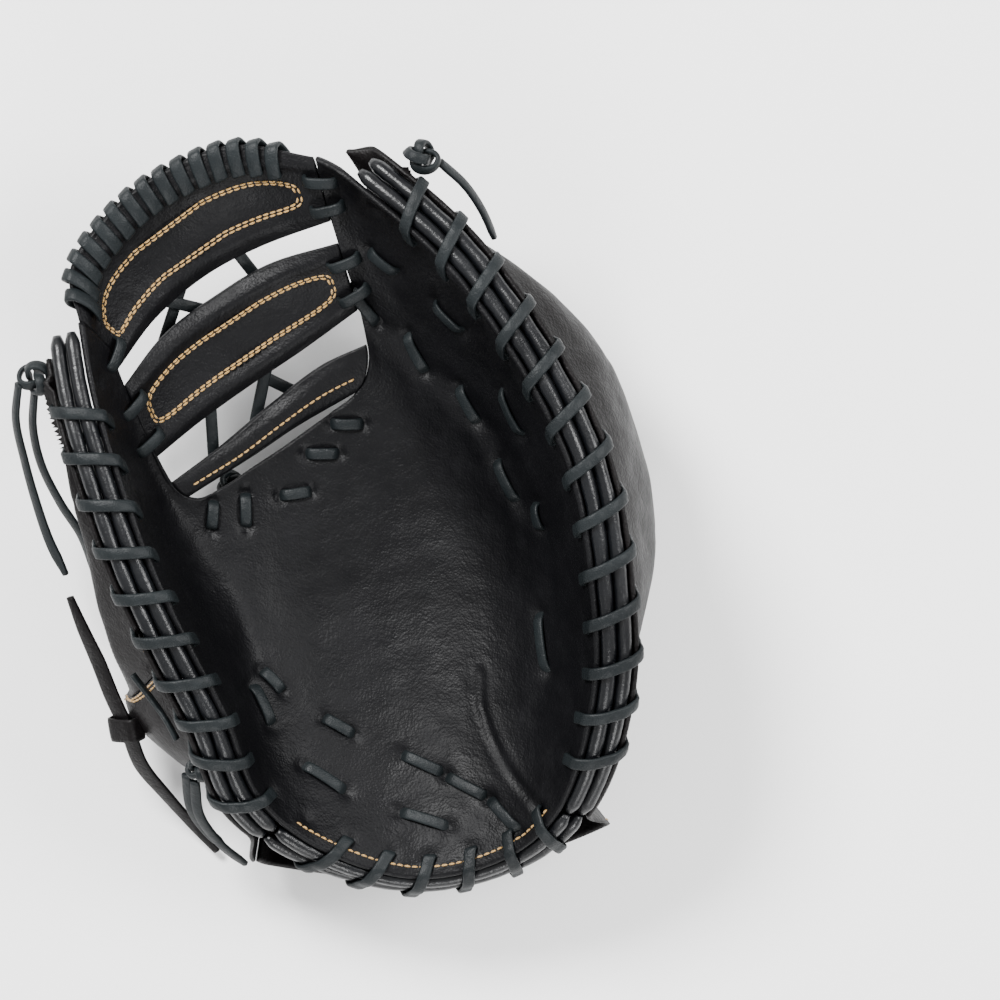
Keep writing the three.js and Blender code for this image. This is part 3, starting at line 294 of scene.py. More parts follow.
# Materials.
def node_tree(name):
    mat = bpy.data.materials.new(name)
    mat.use_nodes = True
    tree = mat.node_tree
    return mat, tree, tree.nodes["Principled BSDF"]


def noise(tree, where, scale, detail=4, rough=0.5):
    n = tree.nodes.new("ShaderNodeTexNoise")
    n.inputs["Scale"].default_value = scale
    n.inputs["Detail"].default_value = detail
    n.inputs["Roughness"].default_value = rough
    tree.links.new(where, n.inputs["Vector"])
    return n.outputs["Fac"]


def ramp(tree, value, low, high, start=0.3, stop=0.7):
    n = tree.nodes.new("ShaderNodeMapRange")
    n.inputs["From Min"].default_value = start
    n.inputs["From Max"].default_value = stop
    n.inputs["To Min"].default_value = low
    n.inputs["To Max"].default_value = high
    tree.links.new(value, n.inputs["Value"])
    return n.outputs["Result"]


def mixed(tree, share, a, b):
    n = tree.nodes.new("ShaderNodeMix")
    n.data_type = "RGBA"
    for socket, value in ((6, a), (7, b)):
        if isinstance(value, tuple):
            n.inputs[socket].default_value = (*value, 1)
        else:
            tree.links.new(value, n.inputs[socket])
    tree.links.new(share, n.inputs[0])
    return n.outputs[2]


def bumped(tree, heights, shader):
    """Bump nodes in a row, one for each (height, distance in metres)."""
    normal = None
    for height, distance in heights:
        n = tree.nodes.new("ShaderNodeBump")
        n.inputs["Distance"].default_value = distance
        n.inputs["Strength"].default_value = 1
        tree.links.new(height, n.inputs["Height"])
        if normal is not None:
            tree.links.new(normal, n.inputs["Normal"])
        normal = n.outputs["Normal"]
    tree.links.new(normal, shader.inputs["Normal"])


def leather(name, dark, light, rough, cell=1100, grain=0.00012, crease=0.0002, worn=(0.05, 0.05, 0.055), gloss=0.12):
    """Leather: pebble grain, fine creases, uneven dye and paler rubbed places."""
    mat, tree, shader = node_tree(name)
    where = tree.nodes.new("ShaderNodeTexCoord").outputs["Object"]
    cells = tree.nodes.new("ShaderNodeTexVoronoi")
    cells.feature = "SMOOTH_F1"
    cells.inputs["Scale"].default_value = cell
    cells.inputs["Smoothness"].default_value = 0.6
    tree.links.new(where, cells.inputs["Vector"])
    large = noise(tree, where, 22, 5, 0.55)
    fine = noise(tree, where, 420, 4, 0.6)
    blotch = noise(tree, where, 75, 6, 0.65)
    colour = mixed(tree, ramp(tree, large, 0, 1), dark, light)
    colour = mixed(tree, ramp(tree, blotch, 0, 0.45, 0.55, 0.8), colour, worn)
    tree.links.new(colour, shader.inputs["Base Color"])
    tree.links.new(ramp(tree, blotch, rough - 0.07, rough + 0.1), shader.inputs["Roughness"])
    shader.inputs["IOR"].default_value = 1.5
    shader.inputs["Specular IOR Level"].default_value = gloss
    bumped(tree, [(blotch, crease * 4), (fine, crease), (cells.outputs["Distance"], grain)], shader)
    return mat


def thread(name, dark, light):
    """Twisted thread: fine slanting plies and a soft shine."""
    mat, tree, shader = node_tree(name)
    where = tree.nodes.new("ShaderNodeTexCoord").outputs["Object"]
    plies = tree.nodes.new("ShaderNodeTexWave")
    plies.inputs["Scale"].default_value = 700
    plies.inputs["Distortion"].default_value = 2.5
    plies.bands_direction = "DIAGONAL"
    tree.links.new(where, plies.inputs["Vector"])
    tree.links.new(mixed(tree, plies.outputs["Fac"], dark, light), shader.inputs["Base Color"])
    shader.inputs["Roughness"].default_value = 0.42
    shader.inputs["Sheen Weight"].default_value = 0.15
    bumped(tree, [(plies.outputs["Fac"], 0.00015)], shader)
    return mat


def felt(name, dark, light):
    mat, tree, shader = node_tree(name)
    where = tree.nodes.new("ShaderNodeTexCoord").outputs["Object"]
    fuzz = noise(tree, where, 2600, 3, 0.7)
    tree.links.new(mixed(tree, ramp(tree, fuzz, 0, 1), dark, light), shader.inputs["Base Color"])
    shader.inputs["Roughness"].default_value = 0.95
    shader.inputs["Sheen Weight"].default_value = 0.3
    bumped(tree, [(fuzz, 0.0005)], shader)
    return mat


PALM = leather("palm_leather", (0.0012, 0.0012, 0.0016), (0.0028, 0.0028, 0.0034), 0.46, worn=(0.005, 0.005, 0.006))
REAR = leather("back_leather", (0.0018, 0.0014, 0.0015), (0.0036, 0.0029, 0.0031), 0.46, 1000, 0.00014, worn=(0.007, 0.0058, 0.0058))
WELT = leather("welt_leather", (0.0014, 0.0016, 0.0022), (0.003, 0.0035, 0.0045), 0.32, 1500, 0.00006, 0.00012, (0.005, 0.0055, 0.007), 0.28)
LACE = leather("lace_leather", (0.0032, 0.0045, 0.0052), (0.007, 0.0092, 0.0102), 0.48, 1700, 0.00008, 0.0002, (0.012, 0.0155, 0.017), 0.16)
BINDER = leather("binding_leather", (0.0014, 0.0014, 0.0018), (0.003, 0.003, 0.0036), 0.4, 1300, 0.00008, worn=(0.005, 0.005, 0.006))
FELT = felt("patch_felt", (0.004, 0.004, 0.005), (0.012, 0.012, 0.014))
GOLD = thread("gold_thread", (0.2, 0.105, 0.025), (0.42, 0.26, 0.085))

# Meshes.
BODIES = {}  # piece name to (points in mm, faces)


def piece(name, points, faces, material, slot=None, nodes=(), flat=False):
    """A mesh of points in the design frame that rides on the mitt and stands for those CAD nodes."""
    points = np.asarray(points, float).reshape(-1, 3)
    mesh = bpy.data.meshes.new(name)
    mesh.from_pydata(((points + SHIFT) * MM).tolist(), [], [tuple(int(i) for i in f) for f in faces])
    mesh.validate()
    if not flat:
        mesh.polygons.foreach_set("use_smooth", [True] * len(mesh.polygons))
    mesh.materials.append(material)
    obj = bpy.data.objects.new(name, mesh)
    bpy.context.scene.collection.objects.link(obj)
    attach(obj, "root")
    if nodes:
        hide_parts(*nodes)
    BODIES[name] = (points, faces)
    return obj


def grid_faces(nu, nv, start=0, flip=False):
    i, j = np.meshgrid(np.arange(nu - 1), np.arange(nv - 1), indexing="ij")
    a = (start + i * nv + j).ravel()
    quads = np.stack([a, a + 1, a + nv + 1, a + nv], 1)
    return quads[:, ::-1] if flip else quads


def skin(top, bottom, keep=None):
    """Points and faces of a closed sheet between two grids, with rounded cut edges."""
    nu, nv = top.shape[:2]
    faces = [grid_faces(nu, nv), grid_faces(nu, nv, nu * nv, True)]
    loop = [(0, j) for j in range(nv)] + [(i, nv - 1) for i in range(1, nu)]
    loop += [(nu - 1, j) for j in range(nv - 2, -1, -1)] + [(i, 0) for i in range(nu - 2, 0, -1)]
    inward = [(min(max(i, 1), nu - 2), min(max(j, 1), nv - 2)) for i, j in loop]
    at, near = tuple(np.array(loop).T), tuple(np.array(inward).T)
    thick = np.linalg.norm(top[at] - bottom[at], axis=-1, keepdims=True)
    middle = (top[at] + bottom[at]) / 2 + unit(top[at] - top[near]) * np.minimum(0.2 * thick, 0.5)
    n = len(loop)
    a = np.array([i * nv + j for i, j in loop])
    m = 2 * nu * nv + np.arange(n)
    b = np.roll(a, -1)
    k = np.roll(m, -1)
    faces += [np.stack([b, a, m, k], 1), np.stack([k, m, a + nu * nv, b + nu * nv], 1)]
    return np.vstack([top.reshape(-1, 3), bottom.reshape(-1, 3), middle]), np.vstack(faces)


def swept(points, across, up, shape, closed=False, scale=None):
    """A polygon of (x, y) carried along stations, with its ends closed."""
    n, k = len(points), len(shape)
    shape = np.asarray(shape, float)
    scale = np.ones((n, 2)) if scale is None else np.asarray(scale, float)
    v = points[:, None] + across[:, None] * (shape[None, :, :1] * scale[:, None, :1])
    v = v + up[:, None] * (shape[None, :, 1:] * scale[:, None, 1:])
    v = v.reshape(-1, 3)
    rows = n if closed else n - 1
    i, j = np.meshgrid(np.arange(rows), np.arange(k), indexing="ij")
    a, b = i * k + j, i * k + (j + 1) % k
    c, d = ((i + 1) % n) * k + j, ((i + 1) % n) * k + (j + 1) % k
    faces = [tuple(f) for f in np.stack([a, b, d, c], -1).reshape(-1, 4)]
    if not closed:
        faces += [tuple(range(k))[::-1], tuple(range((n - 1) * k, n * k))]
    return v, faces


def outward_faces(v, faces):
    """The faces, turned so that the solid's volume is positive."""
    total = 0.0
    for f in faces:
        for q in range(1, len(f) - 1):
            total += np.dot(v[f[0]], np.cross(v[f[q]], v[f[q + 1]]))
    return faces if total > 0 else [tuple(f)[::-1] for f in faces]


def flat_shape(width, thick, soft=0.7):
    """A strap's cross-section with rounded edges and a slight crown."""
    w, h = width / 2, thick / 2
    pts = [(-w, 0), (-w + 0.25 * h, -h * soft), (-w * 0.7, -h), (0, -h * 1.08), (w * 0.7, -h), (w - 0.25 * h, -h * soft)]
    pts += [(w, 0), (w - 0.25 * h, h * soft), (w * 0.7, h), (0, h * 1.08), (-w * 0.7, h), (-w + 0.25 * h, h * soft)]
    return pts


def round_shape(diameter, sides=16):
    angle = np.arange(sides) * 2 * math.pi / sides
    return np.stack([np.cos(angle), np.sin(angle)], 1) * diameter / 2


def strap_frames(points, outs, closed=False):
    if closed:
        tangent = np.roll(points, -1, 0) - np.roll(points, 1, 0)
    else:
        tangent = np.gradient(points, axis=0)
    tangent = unit(tangent)
    across = unit(np.cross(tangent, outs))
    return across, unit(np.cross(across, tangent))


def lace_piece(name, points, outs, nodes=(), width=LACE_WIDTH, thick=LACE_THICK, closed=False, taper=None,
               material=None, slot="lace_leather"):
    across, up = strap_frames(points, outs, closed)
    v, f = swept(points, across, up, flat_shape(width, thick), closed, taper)
    return piece(name, v, outward_faces(v, f), material or LACE, slot, nodes)


def wound(rows, frame_at, loop, per=4, back=False):
    """Points and outward vectors of a lace wound round an edge; loop is one turn of (out, depth)."""
    loop = np.asarray(loop, float)
    if back:
        rows = rows[::-1]
    turns = len(rows) - 1
    n = len(loop)
    gone = np.concatenate([[0], np.cumsum(np.linalg.norm(np.diff(loop, axis=0), axis=1))])
    through = np.linalg.norm(loop[0] - loop[-1])
    share = gone / (gone[-1] + through)
    marks, sections = [], []
    for k in range(turns):
        for q in range(n):
            marks.append(loop[q])
            sections.append(lerp(rows[k], rows[k + 1], share[q]))
    marks, sections = np.array(marks), np.array(sections)
    count = (len(marks) - 1) * per + 1
    u = np.linspace(0, 1, count)
    at = catmull(marks, u)
    section = np.interp(u * (len(marks) - 1), np.arange(len(marks)), sections)
    tangent = unit(np.gradient(at, axis=0))
    side = np.stack([tangent[:, 1], -tangent[:, 0]], 1)
    point, out, normal = frame_at(section)
    points = point + out * col(at[:, 0]) - normal * col(at[:, 1])
    outs = out * col(side[:, 0]) - normal * col(side[:, 1])
    return points, outs, section, at


def rim_frame(section):
    point, out, normal, _, _ = palm_frame(section, 1.0)
    return point, out, normal


def rim_point(section):
    return on_fan(RIM_ENDS, section)


# Camera and the loose ends first.
PX = 0.4  # millimetres for each pixel of the photograph
CENTRE = (337, 520)  # the design frame's origin in the photograph


def from_photo(points):
    p = np.asarray(points, float)
    return np.stack([(p[..., 0] - CENTRE[0]) * PX, (CENTRE[1] - p[..., 1]) * PX], -1)


view_middle = from_photo([500, 500]) + SHIFT[:2]
camera = bpy.data.objects.new("camera", bpy.data.cameras.new("camera"))
bpy.context.scene.collection.objects.link(camera)
DISTANCE = 4.0
camera.location = (view_middle[0] * MM, view_middle[1] * MM, DISTANCE + 0.08)
camera.data.sensor_width = 36
camera.data.lens = 36 * DISTANCE / (1000 * PX * MM)
camera.data.clip_end = 20
bpy.context.scene.camera = camera


# Loose lace ends: flat cords that start at their knots.
def resampled(points, step, ends=True):
    """Points every step along a smooth curve through the given ones."""
    fine = catmull(points, np.linspace(0, 1, 40 * len(points)))
    gone = np.concatenate([[0], np.cumsum(np.linalg.norm(np.diff(fine, axis=0), axis=-1))])
    n = max(3, int(round(gone[-1] / step)) + 1)
    at = np.linspace(0, gone[-1], n)
    return np.stack([np.interp(at, gone, fine[:, k]) for k in range(fine.shape[1])], -1)


def path_length(points):
    return float(np.linalg.norm(np.diff(points, axis=0), axis=-1).sum())


def loose_end(name, route, width, thick, material, slot, taper, faces, twist=0.0):
    points = resampled(route, 1.5)
    n = len(points)
    outs = np.tile(unit(np.asarray(faces, float)), (n, 1))
    across, up = strap_frames(points, outs)
    turn = col(twist * np.linspace(0, 1, n) ** 1.5)
    across, up = across * np.cos(turn) + up * np.sin(turn), up * np.cos(turn) - across * np.sin(turn)
    scale = np.stack([np.interp(np.linspace(0, 1, n), *zip(*taper)), np.ones(n)], 1)
    v, f = swept(points, across, up, flat_shape(width, thick), False, scale)
    obj = piece(name, v, outward_faces(v, f), material, slot, (name,))
    return obj


TIP = [(0, 0.9), (0.1, 1), (0.9, 1), (1, 0.55)]
TAIL_FACES = {
    "thumb_tail": (-0.8, 0.1, 0.6), "side_tail": (-0.7, 0.1, 0.7), "heel_tail_long": (-0.4, -0.5, 0.75),
    "heel_tail_short": (-0.5, -0.5, 0.7), "top_tail": (0.5, 0.5, 0.7), "web_tail_left": (0.3, 0.3, -1),
    "web_tail_right": (0.3, 0.3, -1), "palm_tail_left": (0.3, 0.3, -1), "palm_tail_right": (0.3, 0.3, -1),
}
for k, (name, route) in enumerate(ROUTES.items()):
    loose_end(name, route, TAIL_WIDTH, TAIL_THICK, LACE, "lace_leather", TIP, TAIL_FACES[name], 0.5 - 0.35 * (k % 3))
for name, (route, widths) in STRAP_ENDS.items():
    share = np.linspace(0, 1, len(widths))
    loose_end(name, route, TAB_WIDTH, TAB_THICK, REAR, "back_leather", list(zip(share, widths)), STRAP_FACES)

# Palm.
LACE_MARKS = {side: even_sections(r["lace"], RIM_PITCH, 6, rim_point) for side, r in RIM.items()}


def holes_of(side):
    rows = LACE_MARKS[side]
    return rows[::-1][::6] if RIM[side]["back"] else rows[::6]


# Short flat lace runs that tie the palm to its lining, as (from, to) in the photograph.
PALM_TIES = [
    ((368, 250), (398, 273)), ((433, 302), (463, 332)), ((500, 388), (522, 436)), ((536, 502), (541, 530)),
    ((539, 612), (547, 674)), ((351, 290), (377, 324)), ((406, 332), (425, 372)), ((458, 385), (478, 423)),
    ((496, 459), (517, 502)), ((328, 423), (363, 423)), ((303, 453), (338, 453)), ((277, 496), (310, 491)),
    ((243, 492), (244, 528)), ((211, 500), (209, 530)), ((321, 719), (353, 737)), ((400, 756), (443, 775)),
    ((445, 778), (487, 799)), ((488, 800), (520, 832)), ((260, 671), (281, 693)), ((250, 685), (271, 727)),
    ((301, 766), (345, 794)), ((398, 814), (449, 829)),
]
# Creases of the palm, as lines in the photograph with their depth and half width in millimetres.
CREASES = [
    ([(480, 674), (482, 713), (505, 766), (539, 811)], 0.9, 1.5),
    ([(335, 268), (362, 305), (410, 350), (465, 400), (505, 455), (528, 510)], 1.1, 3.5),
    ([(205, 545), (250, 640), (262, 730)], 0.6, 5),
    ([(345, 600), (400, 690), (470, 760)], 0.5, 6),
    ([(545, 520), (552, 600), (548, 690)], 0.7, 4),
]


def near_line(xy, line):
    """Distance of points in the plane to a line of points."""
    best = np.full(xy.shape[:-1], 1e9)
    for a, b in zip(line[:-1], line[1:]):
        way = b - a
        t = np.clip(((xy - a) @ way) / (way @ way), 0, 1)
        best = np.minimum(best, np.linalg.norm(xy - (a + col(t) * way), axis=-1))
    return best


def palm_relief(points, section, t):
    """How far the palm's face stands out from its smooth form."""
    xy = points[..., :2]
    fade = smooth(t, 0, 0.06) * (1 - smooth(t, 0.97, 1))
    relief = 0.5 * waves(points, 3, 55) * fade + 0.16 * waves(points, 5, 16) * fade
    for line, depth, width in CREASES:
        d = near_line(xy, resampled(from_photo(line), 4))
        relief -= depth * np.exp(-((d / width) ** 2)) - 0.35 * depth * np.exp(-(((d - 2.2 * width) / width) ** 2))
    for a, b in PALM_TIES:
        a, b = from_photo(a), from_photo(b)
        way = unit(b - a)
        d = near_line(xy, np.array([a, b]))
        relief -= 0.5 * np.exp(-((d / 3.2) ** 2))
        for end in (a, b):
            relief -= 1.5 * np.exp(-((np.linalg.norm(xy - end, axis=-1) / 2.2) ** 2))
    for side in RIM:
        holes = palm_frame(holes_of(side), 1.0)
        for point, out in zip(holes[0], holes[1]):
            d = np.linalg.norm(points - (point - out * RIM_INSET), axis=-1)
            relief -= 0.9 * np.exp(-((d / 2.6) ** 2)) - 0.25 * np.exp(-(((d - 6) / 3) ** 2))
    return relief


palm_columns = even_sections((0, LAST), 1.85, 1, rim_point)
palm_rows = smooth(np.linspace(0.04, 0.96, 105), 0, 1)
palm_rows = (palm_rows - palm_rows[0]) / (palm_rows[-1] - palm_rows[0])
palm_rows = 0.6 * np.linspace(0, 1, 105) + 0.4 * palm_rows
S, T = np.meshgrid(palm_columns, palm_rows, indexing="ij")
point, out, normal, _, _ = palm_frame(S, T)
palm_top = point + normal * col(palm_relief(point, S, T))
palm_under = point - normal * col(palm_thickness(S, T))
palm_leather = piece("palm_leather", *skin(palm_top, palm_under), PALM, "shell_leather", ("palm_shell",))
PALM_TREE = BVHTree.FromPolygons(palm_top.reshape(-1, 3).tolist(), grid_faces(*S.shape).tolist())


def dropped(tree, xy, up=True):
    """Points and normals where vertical lines through xy meet a surface, from above or from below."""
    points, normals = [], []
    last = None
    for x, y in np.asarray(xy, float):
        start, way = Vector((x, y, 300 if up else -50)), Vector((0, 0, -1 if up else 1))
        hit, n, _, _ = tree.ray_cast(start, way)
        if hit is None:
            near = tree.find_nearest(Vector((x, y, 60 if up else 10)))
            hit, n = (near[0], near[1]) if last is None else last
        if n.z * (1 if up else -1) < 0:
            n = -n
        last = (hit, n)
        points.append(hit)
        normals.append(n)
    return np.array(points), np.array(normals)


def tie_lace(name, points, normals, width=4.6, thick=1.5, rise=0.35, dive=2.2):
    """A short flat lace that comes out of the leather, lies on it and goes back in."""
    n = len(points)
    u = np.linspace(0, 1, n)
    lift = rise + thick / 2 - dive * (np.exp(-((u / 0.1) ** 2)) + np.exp(-(((1 - u) / 0.1) ** 2)))
    lift = lift + 0.7 * np.sin(math.pi * u)
    normals = unit(np.array([normals[max(0, i - 3):i + 4].mean(0) for i in range(n)]))
    line = points + normals * col(lift)
    return line, normals, width, thick


def merged_laces(name, runs, slot="lace_leather", material=None):
    """Several lace runs as one piece."""
    allv, allf, start = [], [], 0
    for line, outs, width, thick in runs:
        across, up = strap_frames(line, outs)
        v, f = swept(line, across, up, flat_shape(width, thick))
        f = outward_faces(v, f)
        allv.append(v)
        allf += [tuple(int(i) + start for i in q) for q in f]
        start += len(v)
    return piece(name, np.vstack(allv), allf, material or LACE, slot)


runs = []
for k, (a, b) in enumerate(PALM_TIES):
    line = np.linspace(from_photo(a), from_photo(b), 22)
    points, normals = dropped(PALM_TREE, line)
    runs.append(tie_lace(f"palm_tie_{k}", points, normals))
merged_laces("palm_ties", runs)


# Rim rolls, pinched under each lace, and the rim lacing.
def stack_depth(layer):
    return LEATHER + 1.5 * GAP + ROLL / 2 + layer * (ROLL + GAP)


def pinched(section, crossings, depth=0.1, reach=0.07):
    r = np.ones_like(section)
    for c in crossings:
        r -= depth * np.exp(-(((section - c) / reach) ** 2))
    return r


def lace_crossings(side, layer):
    rows = LACE_MARKS[side]
    share = (2 + 1.5 * layer) / 6
    pitch = rows[6] - rows[0]
    start = rows[::6][:-1]
    return start + pitch * (1 - share if RIM[side]["back"] else share)


for side, r in RIM.items():
    for layer, word in enumerate(("inner", "outer")):
        s = even_sections(r["rolls"], 1.6, 1, rim_point)
        point, out, normal, _, along = palm_frame(s, 1.0)
        centre = point - normal * stack_depth(layer)
        pitch = (LACE_MARKS[side][6] - LACE_MARKS[side][0])
        size = pinched(s, lace_crossings(side, layer), 0.09, pitch * 0.16) + 0.02 * waves(centre, 7 + layer, 9)
        size = size * (0.45 + 0.55 * smooth(np.minimum(np.arange(len(s)), np.arange(len(s))[::-1]), -1, 3))
        v, f = swept(centre, out, normal, round_shape(ROLL * 1.04, 18), False, np.stack([size, size], 1))
        name = f"{side}_roll_{word}"
        piece(name, v, outward_faces(v, f), WELT, "welt_leather", (name,))

OFF = LACE_THICK / 2 + 0.3
for side, r in RIM.items():
    first, second = stack_depth(0), stack_depth(1)
    bottom = LEATHER * r["layers"] + RIM_ROOM
    reach = ROLL / 2 + OFF
    loop = [
        (-RIM_INSET, 0.6), (-RIM_INSET + 1.2, -OFF - 0.25), (-3.5, -OFF - 0.1), (0.4, -OFF + 0.3), (reach * 0.8, first - reach * 0.72),
        (reach * 1.03, first), (reach * 1.0, (first + second) / 2), (reach * 1.03, second),
        (reach * 0.8, second + reach * 0.75), (0.4, bottom + OFF - 0.2), (-3.5, bottom + OFF),
        (-RIM_INSET + 1.2, bottom + OFF + 0.2), (-RIM_INSET, bottom - 0.6),
    ]
    points, outs, _, _ = wound(LACE_MARKS[side][::6], rim_frame, loop, 3, r["back"])
    name = f"{side}_rim_lace"
    lace_piece(name, points, outs, (name,), LACE_WIDTH, LACE_THICK)

# Web bands.
def palm_edge(section):
    section = np.asarray(section, float)
    mid = on_fan(WEB_ENDS, section)
    first = palm_point(0 * section, np.clip(-section, 0, 1))
    last = palm_point(0 * section + LAST, np.clip(section - LAST, 0, 1))
    return np.where(col(section < 0), first, np.where(col(section > LAST), last, mid))


BAND_LINES = {
    name: np.vstack([palm_edge(thumb), [place(p) for p in through], palm_edge(finger)])
    for name, (thumb, finger, through) in WEB_EDGES.items()
}


def band_point(low, high, a, b):
    a, b = np.broadcast_arrays(np.asarray(a, float), np.asarray(b, float))

    def between(share):
        share = share * np.ones_like(b)
        return lerp(catmull(BAND_LINES[low], share), catmull(BAND_LINES[high], share), col(b))

    start = palm_edge(lerp(WEB_EDGES[low][0], WEB_EDGES[high][0], b)) - between(0.0)
    end = palm_edge(lerp(WEB_EDGES[low][1], WEB_EDGES[high][1], b)) - between(1.0)
    return between(a) + start * col(1 - a) + end * col(a)


def band_frame(low, high, a, b):
    a, b = np.broadcast_arrays(np.asarray(a, float), np.asarray(b, float))
    a0, a1 = np.maximum(0, a - STEP), np.minimum(1, a + STEP)
    b0, b1 = np.maximum(0, b - STEP), np.minimum(1, b + STEP)
    along = unit(band_point(low, high, a1, b) - band_point(low, high, a0, b))
    across = unit(band_point(low, high, a, b1) - band_point(low, high, a, b0))
    normal = unit(np.cross(along, across))
    return band_point(low, high, a, b) - normal * LEATHER / 2, along, across, normal


TREES = {}


def band(name, low, high, thick, profile, columns, rows, seed):
    length = path_length(catmull(BAND_LINES[low], np.linspace(0, 1, 100)))
    a = np.linspace(0.7 / length, 1 - 0.7 / length, columns)
    bh = catmull(profile, np.linspace(0, 1, rows))
    b = np.clip(bh[:, 0], 0, 1)
    A, B = np.meshgrid(a, b, indexing="ij")
    point, along, across, normal = band_frame(low, high, A, B)
    taper = 0.45 + 0.55 * smooth(np.minimum(A, 1 - A) * length, 0, 2 * PAD_TAPER)
    half = bh[None, :, 1] * taper * thick / 2
    rough = 0.28 * waves(point, seed, 22) * smooth(half, 1, 2.5)
    top = point + normal * col(half + rough)
    bottom = point - normal * col(half)
    obj = piece(name, *skin(top, bottom), PALM, "shell_leather", (name,))
    TREES[name] = BVHTree.FromPolygons(top.reshape(-1, 3).tolist(), grid_faces(*A.shape).tolist())
    TREES[name + "_under"] = BVHTree.FromPolygons(bottom.reshape(-1, 3).tolist(), grid_faces(*A.shape).tolist())
    return obj


band("web_crescent", "crescentLow", "crescentHigh", CRESCENT_THICK, TWO_LOBES, 130, 60, 21)
band("web_bar", "barLow", "barHigh", BAR_THICK, TWO_LOBES, 110, 50, 22)
band("web_base_bar", "baseLow", "baseHigh", BASE_THICK, ONE_LOBE, 100, 36, 23)


def top_frame(a):
    point, _, across, normal = band_frame("crescentLow", "crescentHigh", a, 1.0)
    return point, across, normal


reach = CRESCENT_THICK / 2 + 0.3
loop = [(-TOP_INSET, 0.8 - reach), (-TOP_INSET * 0.8, -reach - 0.3), (-TOP_INSET / 3, -reach - 0.2), (OFF * 0.9, -reach * 0.55),
        (OFF * 1.6, 0), (OFF * 0.9, reach * 0.55), (-TOP_INSET / 3, reach + 0.2), (-TOP_INSET * 0.8, reach + 0.3), (-TOP_INSET, reach - 0.8)]
top_marks = even_sections((0.07, 0.93), TOP_PITCH, 6, lambda a: top_frame(a)[0])[::6]
points, outs, _, _ = wound(top_marks, top_frame, loop, 4)
lace_piece("web_top_lace", points, outs, ("web_top_lace",), LACE_WIDTH + 0.6, LACE_THICK)

TIES = [
    ("crescent_thumb_tie", "crescentLow", "crescentHigh", 0, 0.3), ("bar_thumb_tie_low", "barLow", "barHigh", 0, 0.25),
    ("bar_thumb_tie_high", "barLow", "barHigh", 0, 0.75), ("crescent_finger_tie_low", "crescentLow", "crescentHigh", 1, 0.2),
    ("crescent_finger_tie_high", "crescentLow", "crescentHigh", 1, 0.65), ("bar_finger_tie_low", "barLow", "barHigh", 1, 0.25),
    ("bar_finger_tie_high", "barLow", "barHigh", 1, 0.75),
]
for name, low, high, a, b in TIES:
    point, along, _, normal = band_frame(low, high, float(a), float(b))
    rise = BAR_THICK / 3 + LACE_THICK / 2 + 0.9
    angle = np.arange(40) * 2 * math.pi / 40
    x, y = np.cos(angle), np.sin(angle)
    x, y = np.sign(x) * np.abs(x) ** 0.6 * 6.6, np.sign(y) * np.abs(y) ** 0.6 * rise
    ring = along * col(x) + normal * col(y)
    lace_piece(name, point + ring, unit(ring), (name,), closed=True)

CROSSINGS = [
    ("upper_cross_lace_1", ("crescentLow", "crescentHigh", 0.3, 0.14), ("barLow", "barHigh", 0.46, 0.86), 0),
    ("upper_cross_lace_2", ("crescentLow", "crescentHigh", 0.5, 0.14), ("barLow", "barHigh", 0.26, 0.86), 1),
    ("upper_cross_lace_3", ("crescentLow", "crescentHigh", 0.64, 0.14), ("barLow", "barHigh", 0.68, 0.86), 0),
    ("lower_cross_lace_1", ("barLow", "barHigh", 0.34, 0.14), ("baseLow", "baseHigh", 0.2, 0.6), 0),
    ("lower_cross_lace_2", ("barLow", "barHigh", 0.62, 0.14), ("baseLow", "baseHigh", 0.4, 0.6), 0),
    ("lower_cross_lace_3", ("barLow", "barHigh", 0.5, 0.14), ("baseLow", "baseHigh", 0.66, 0.6), 1),
]
BAND_THICK = {"crescentLow": CRESCENT_THICK, "barLow": BAR_THICK, "baseLow": BASE_THICK}
for name, start, end, deep in CROSSINGS:
    ends = []
    for low, high, a, b in (start, end):
        point, _, _, normal = band_frame(low, high, a, b)
        ends.append((point, normal, BAND_THICK[low] / 2 + LACE_THICK / 2 + LACE_GAP + deep * (LACE_THICK + GAP)))
    f = np.linspace(-0.12, 1.12, 40)
    normal = unit(lerp(ends[0][1], ends[1][1], col(f)))
    depth = lerp(ends[0][2], ends[1][2], f) - 1.2 * (smooth(-f, 0, 0.12) + smooth(f - 1, 0, 0.12))
    points = lerp(ends[0][0], ends[1][0], col(f)) - normal * col(depth)
    lace_piece(name, points, normal, (name,))

# Back leather: three panels that lap along the photo's seams.
COVER_LENGTHS = (1 - np.array([r[4] for r in FAN])) * section_length(np.arange(LAST + 1))


def seam_share(section):
    return catmull_at(SEAM, section)


_seam = catmull(SEAM, np.linspace(0, 1, 400))


def catmull_at(table, section):
    return np.interp(section, _seam[:, 0], _seam[:, 1])


def back_relief(points):
    relief = 0.55 * waves(points, 31, 60) + 0.18 * waves(points, 33, 18)
    d = np.abs(np.sin(points[..., 1] / 23 + 0.6 * waves(points, 35, 70)))
    return relief - 0.35 * np.exp(-((d / 0.12) ** 2))


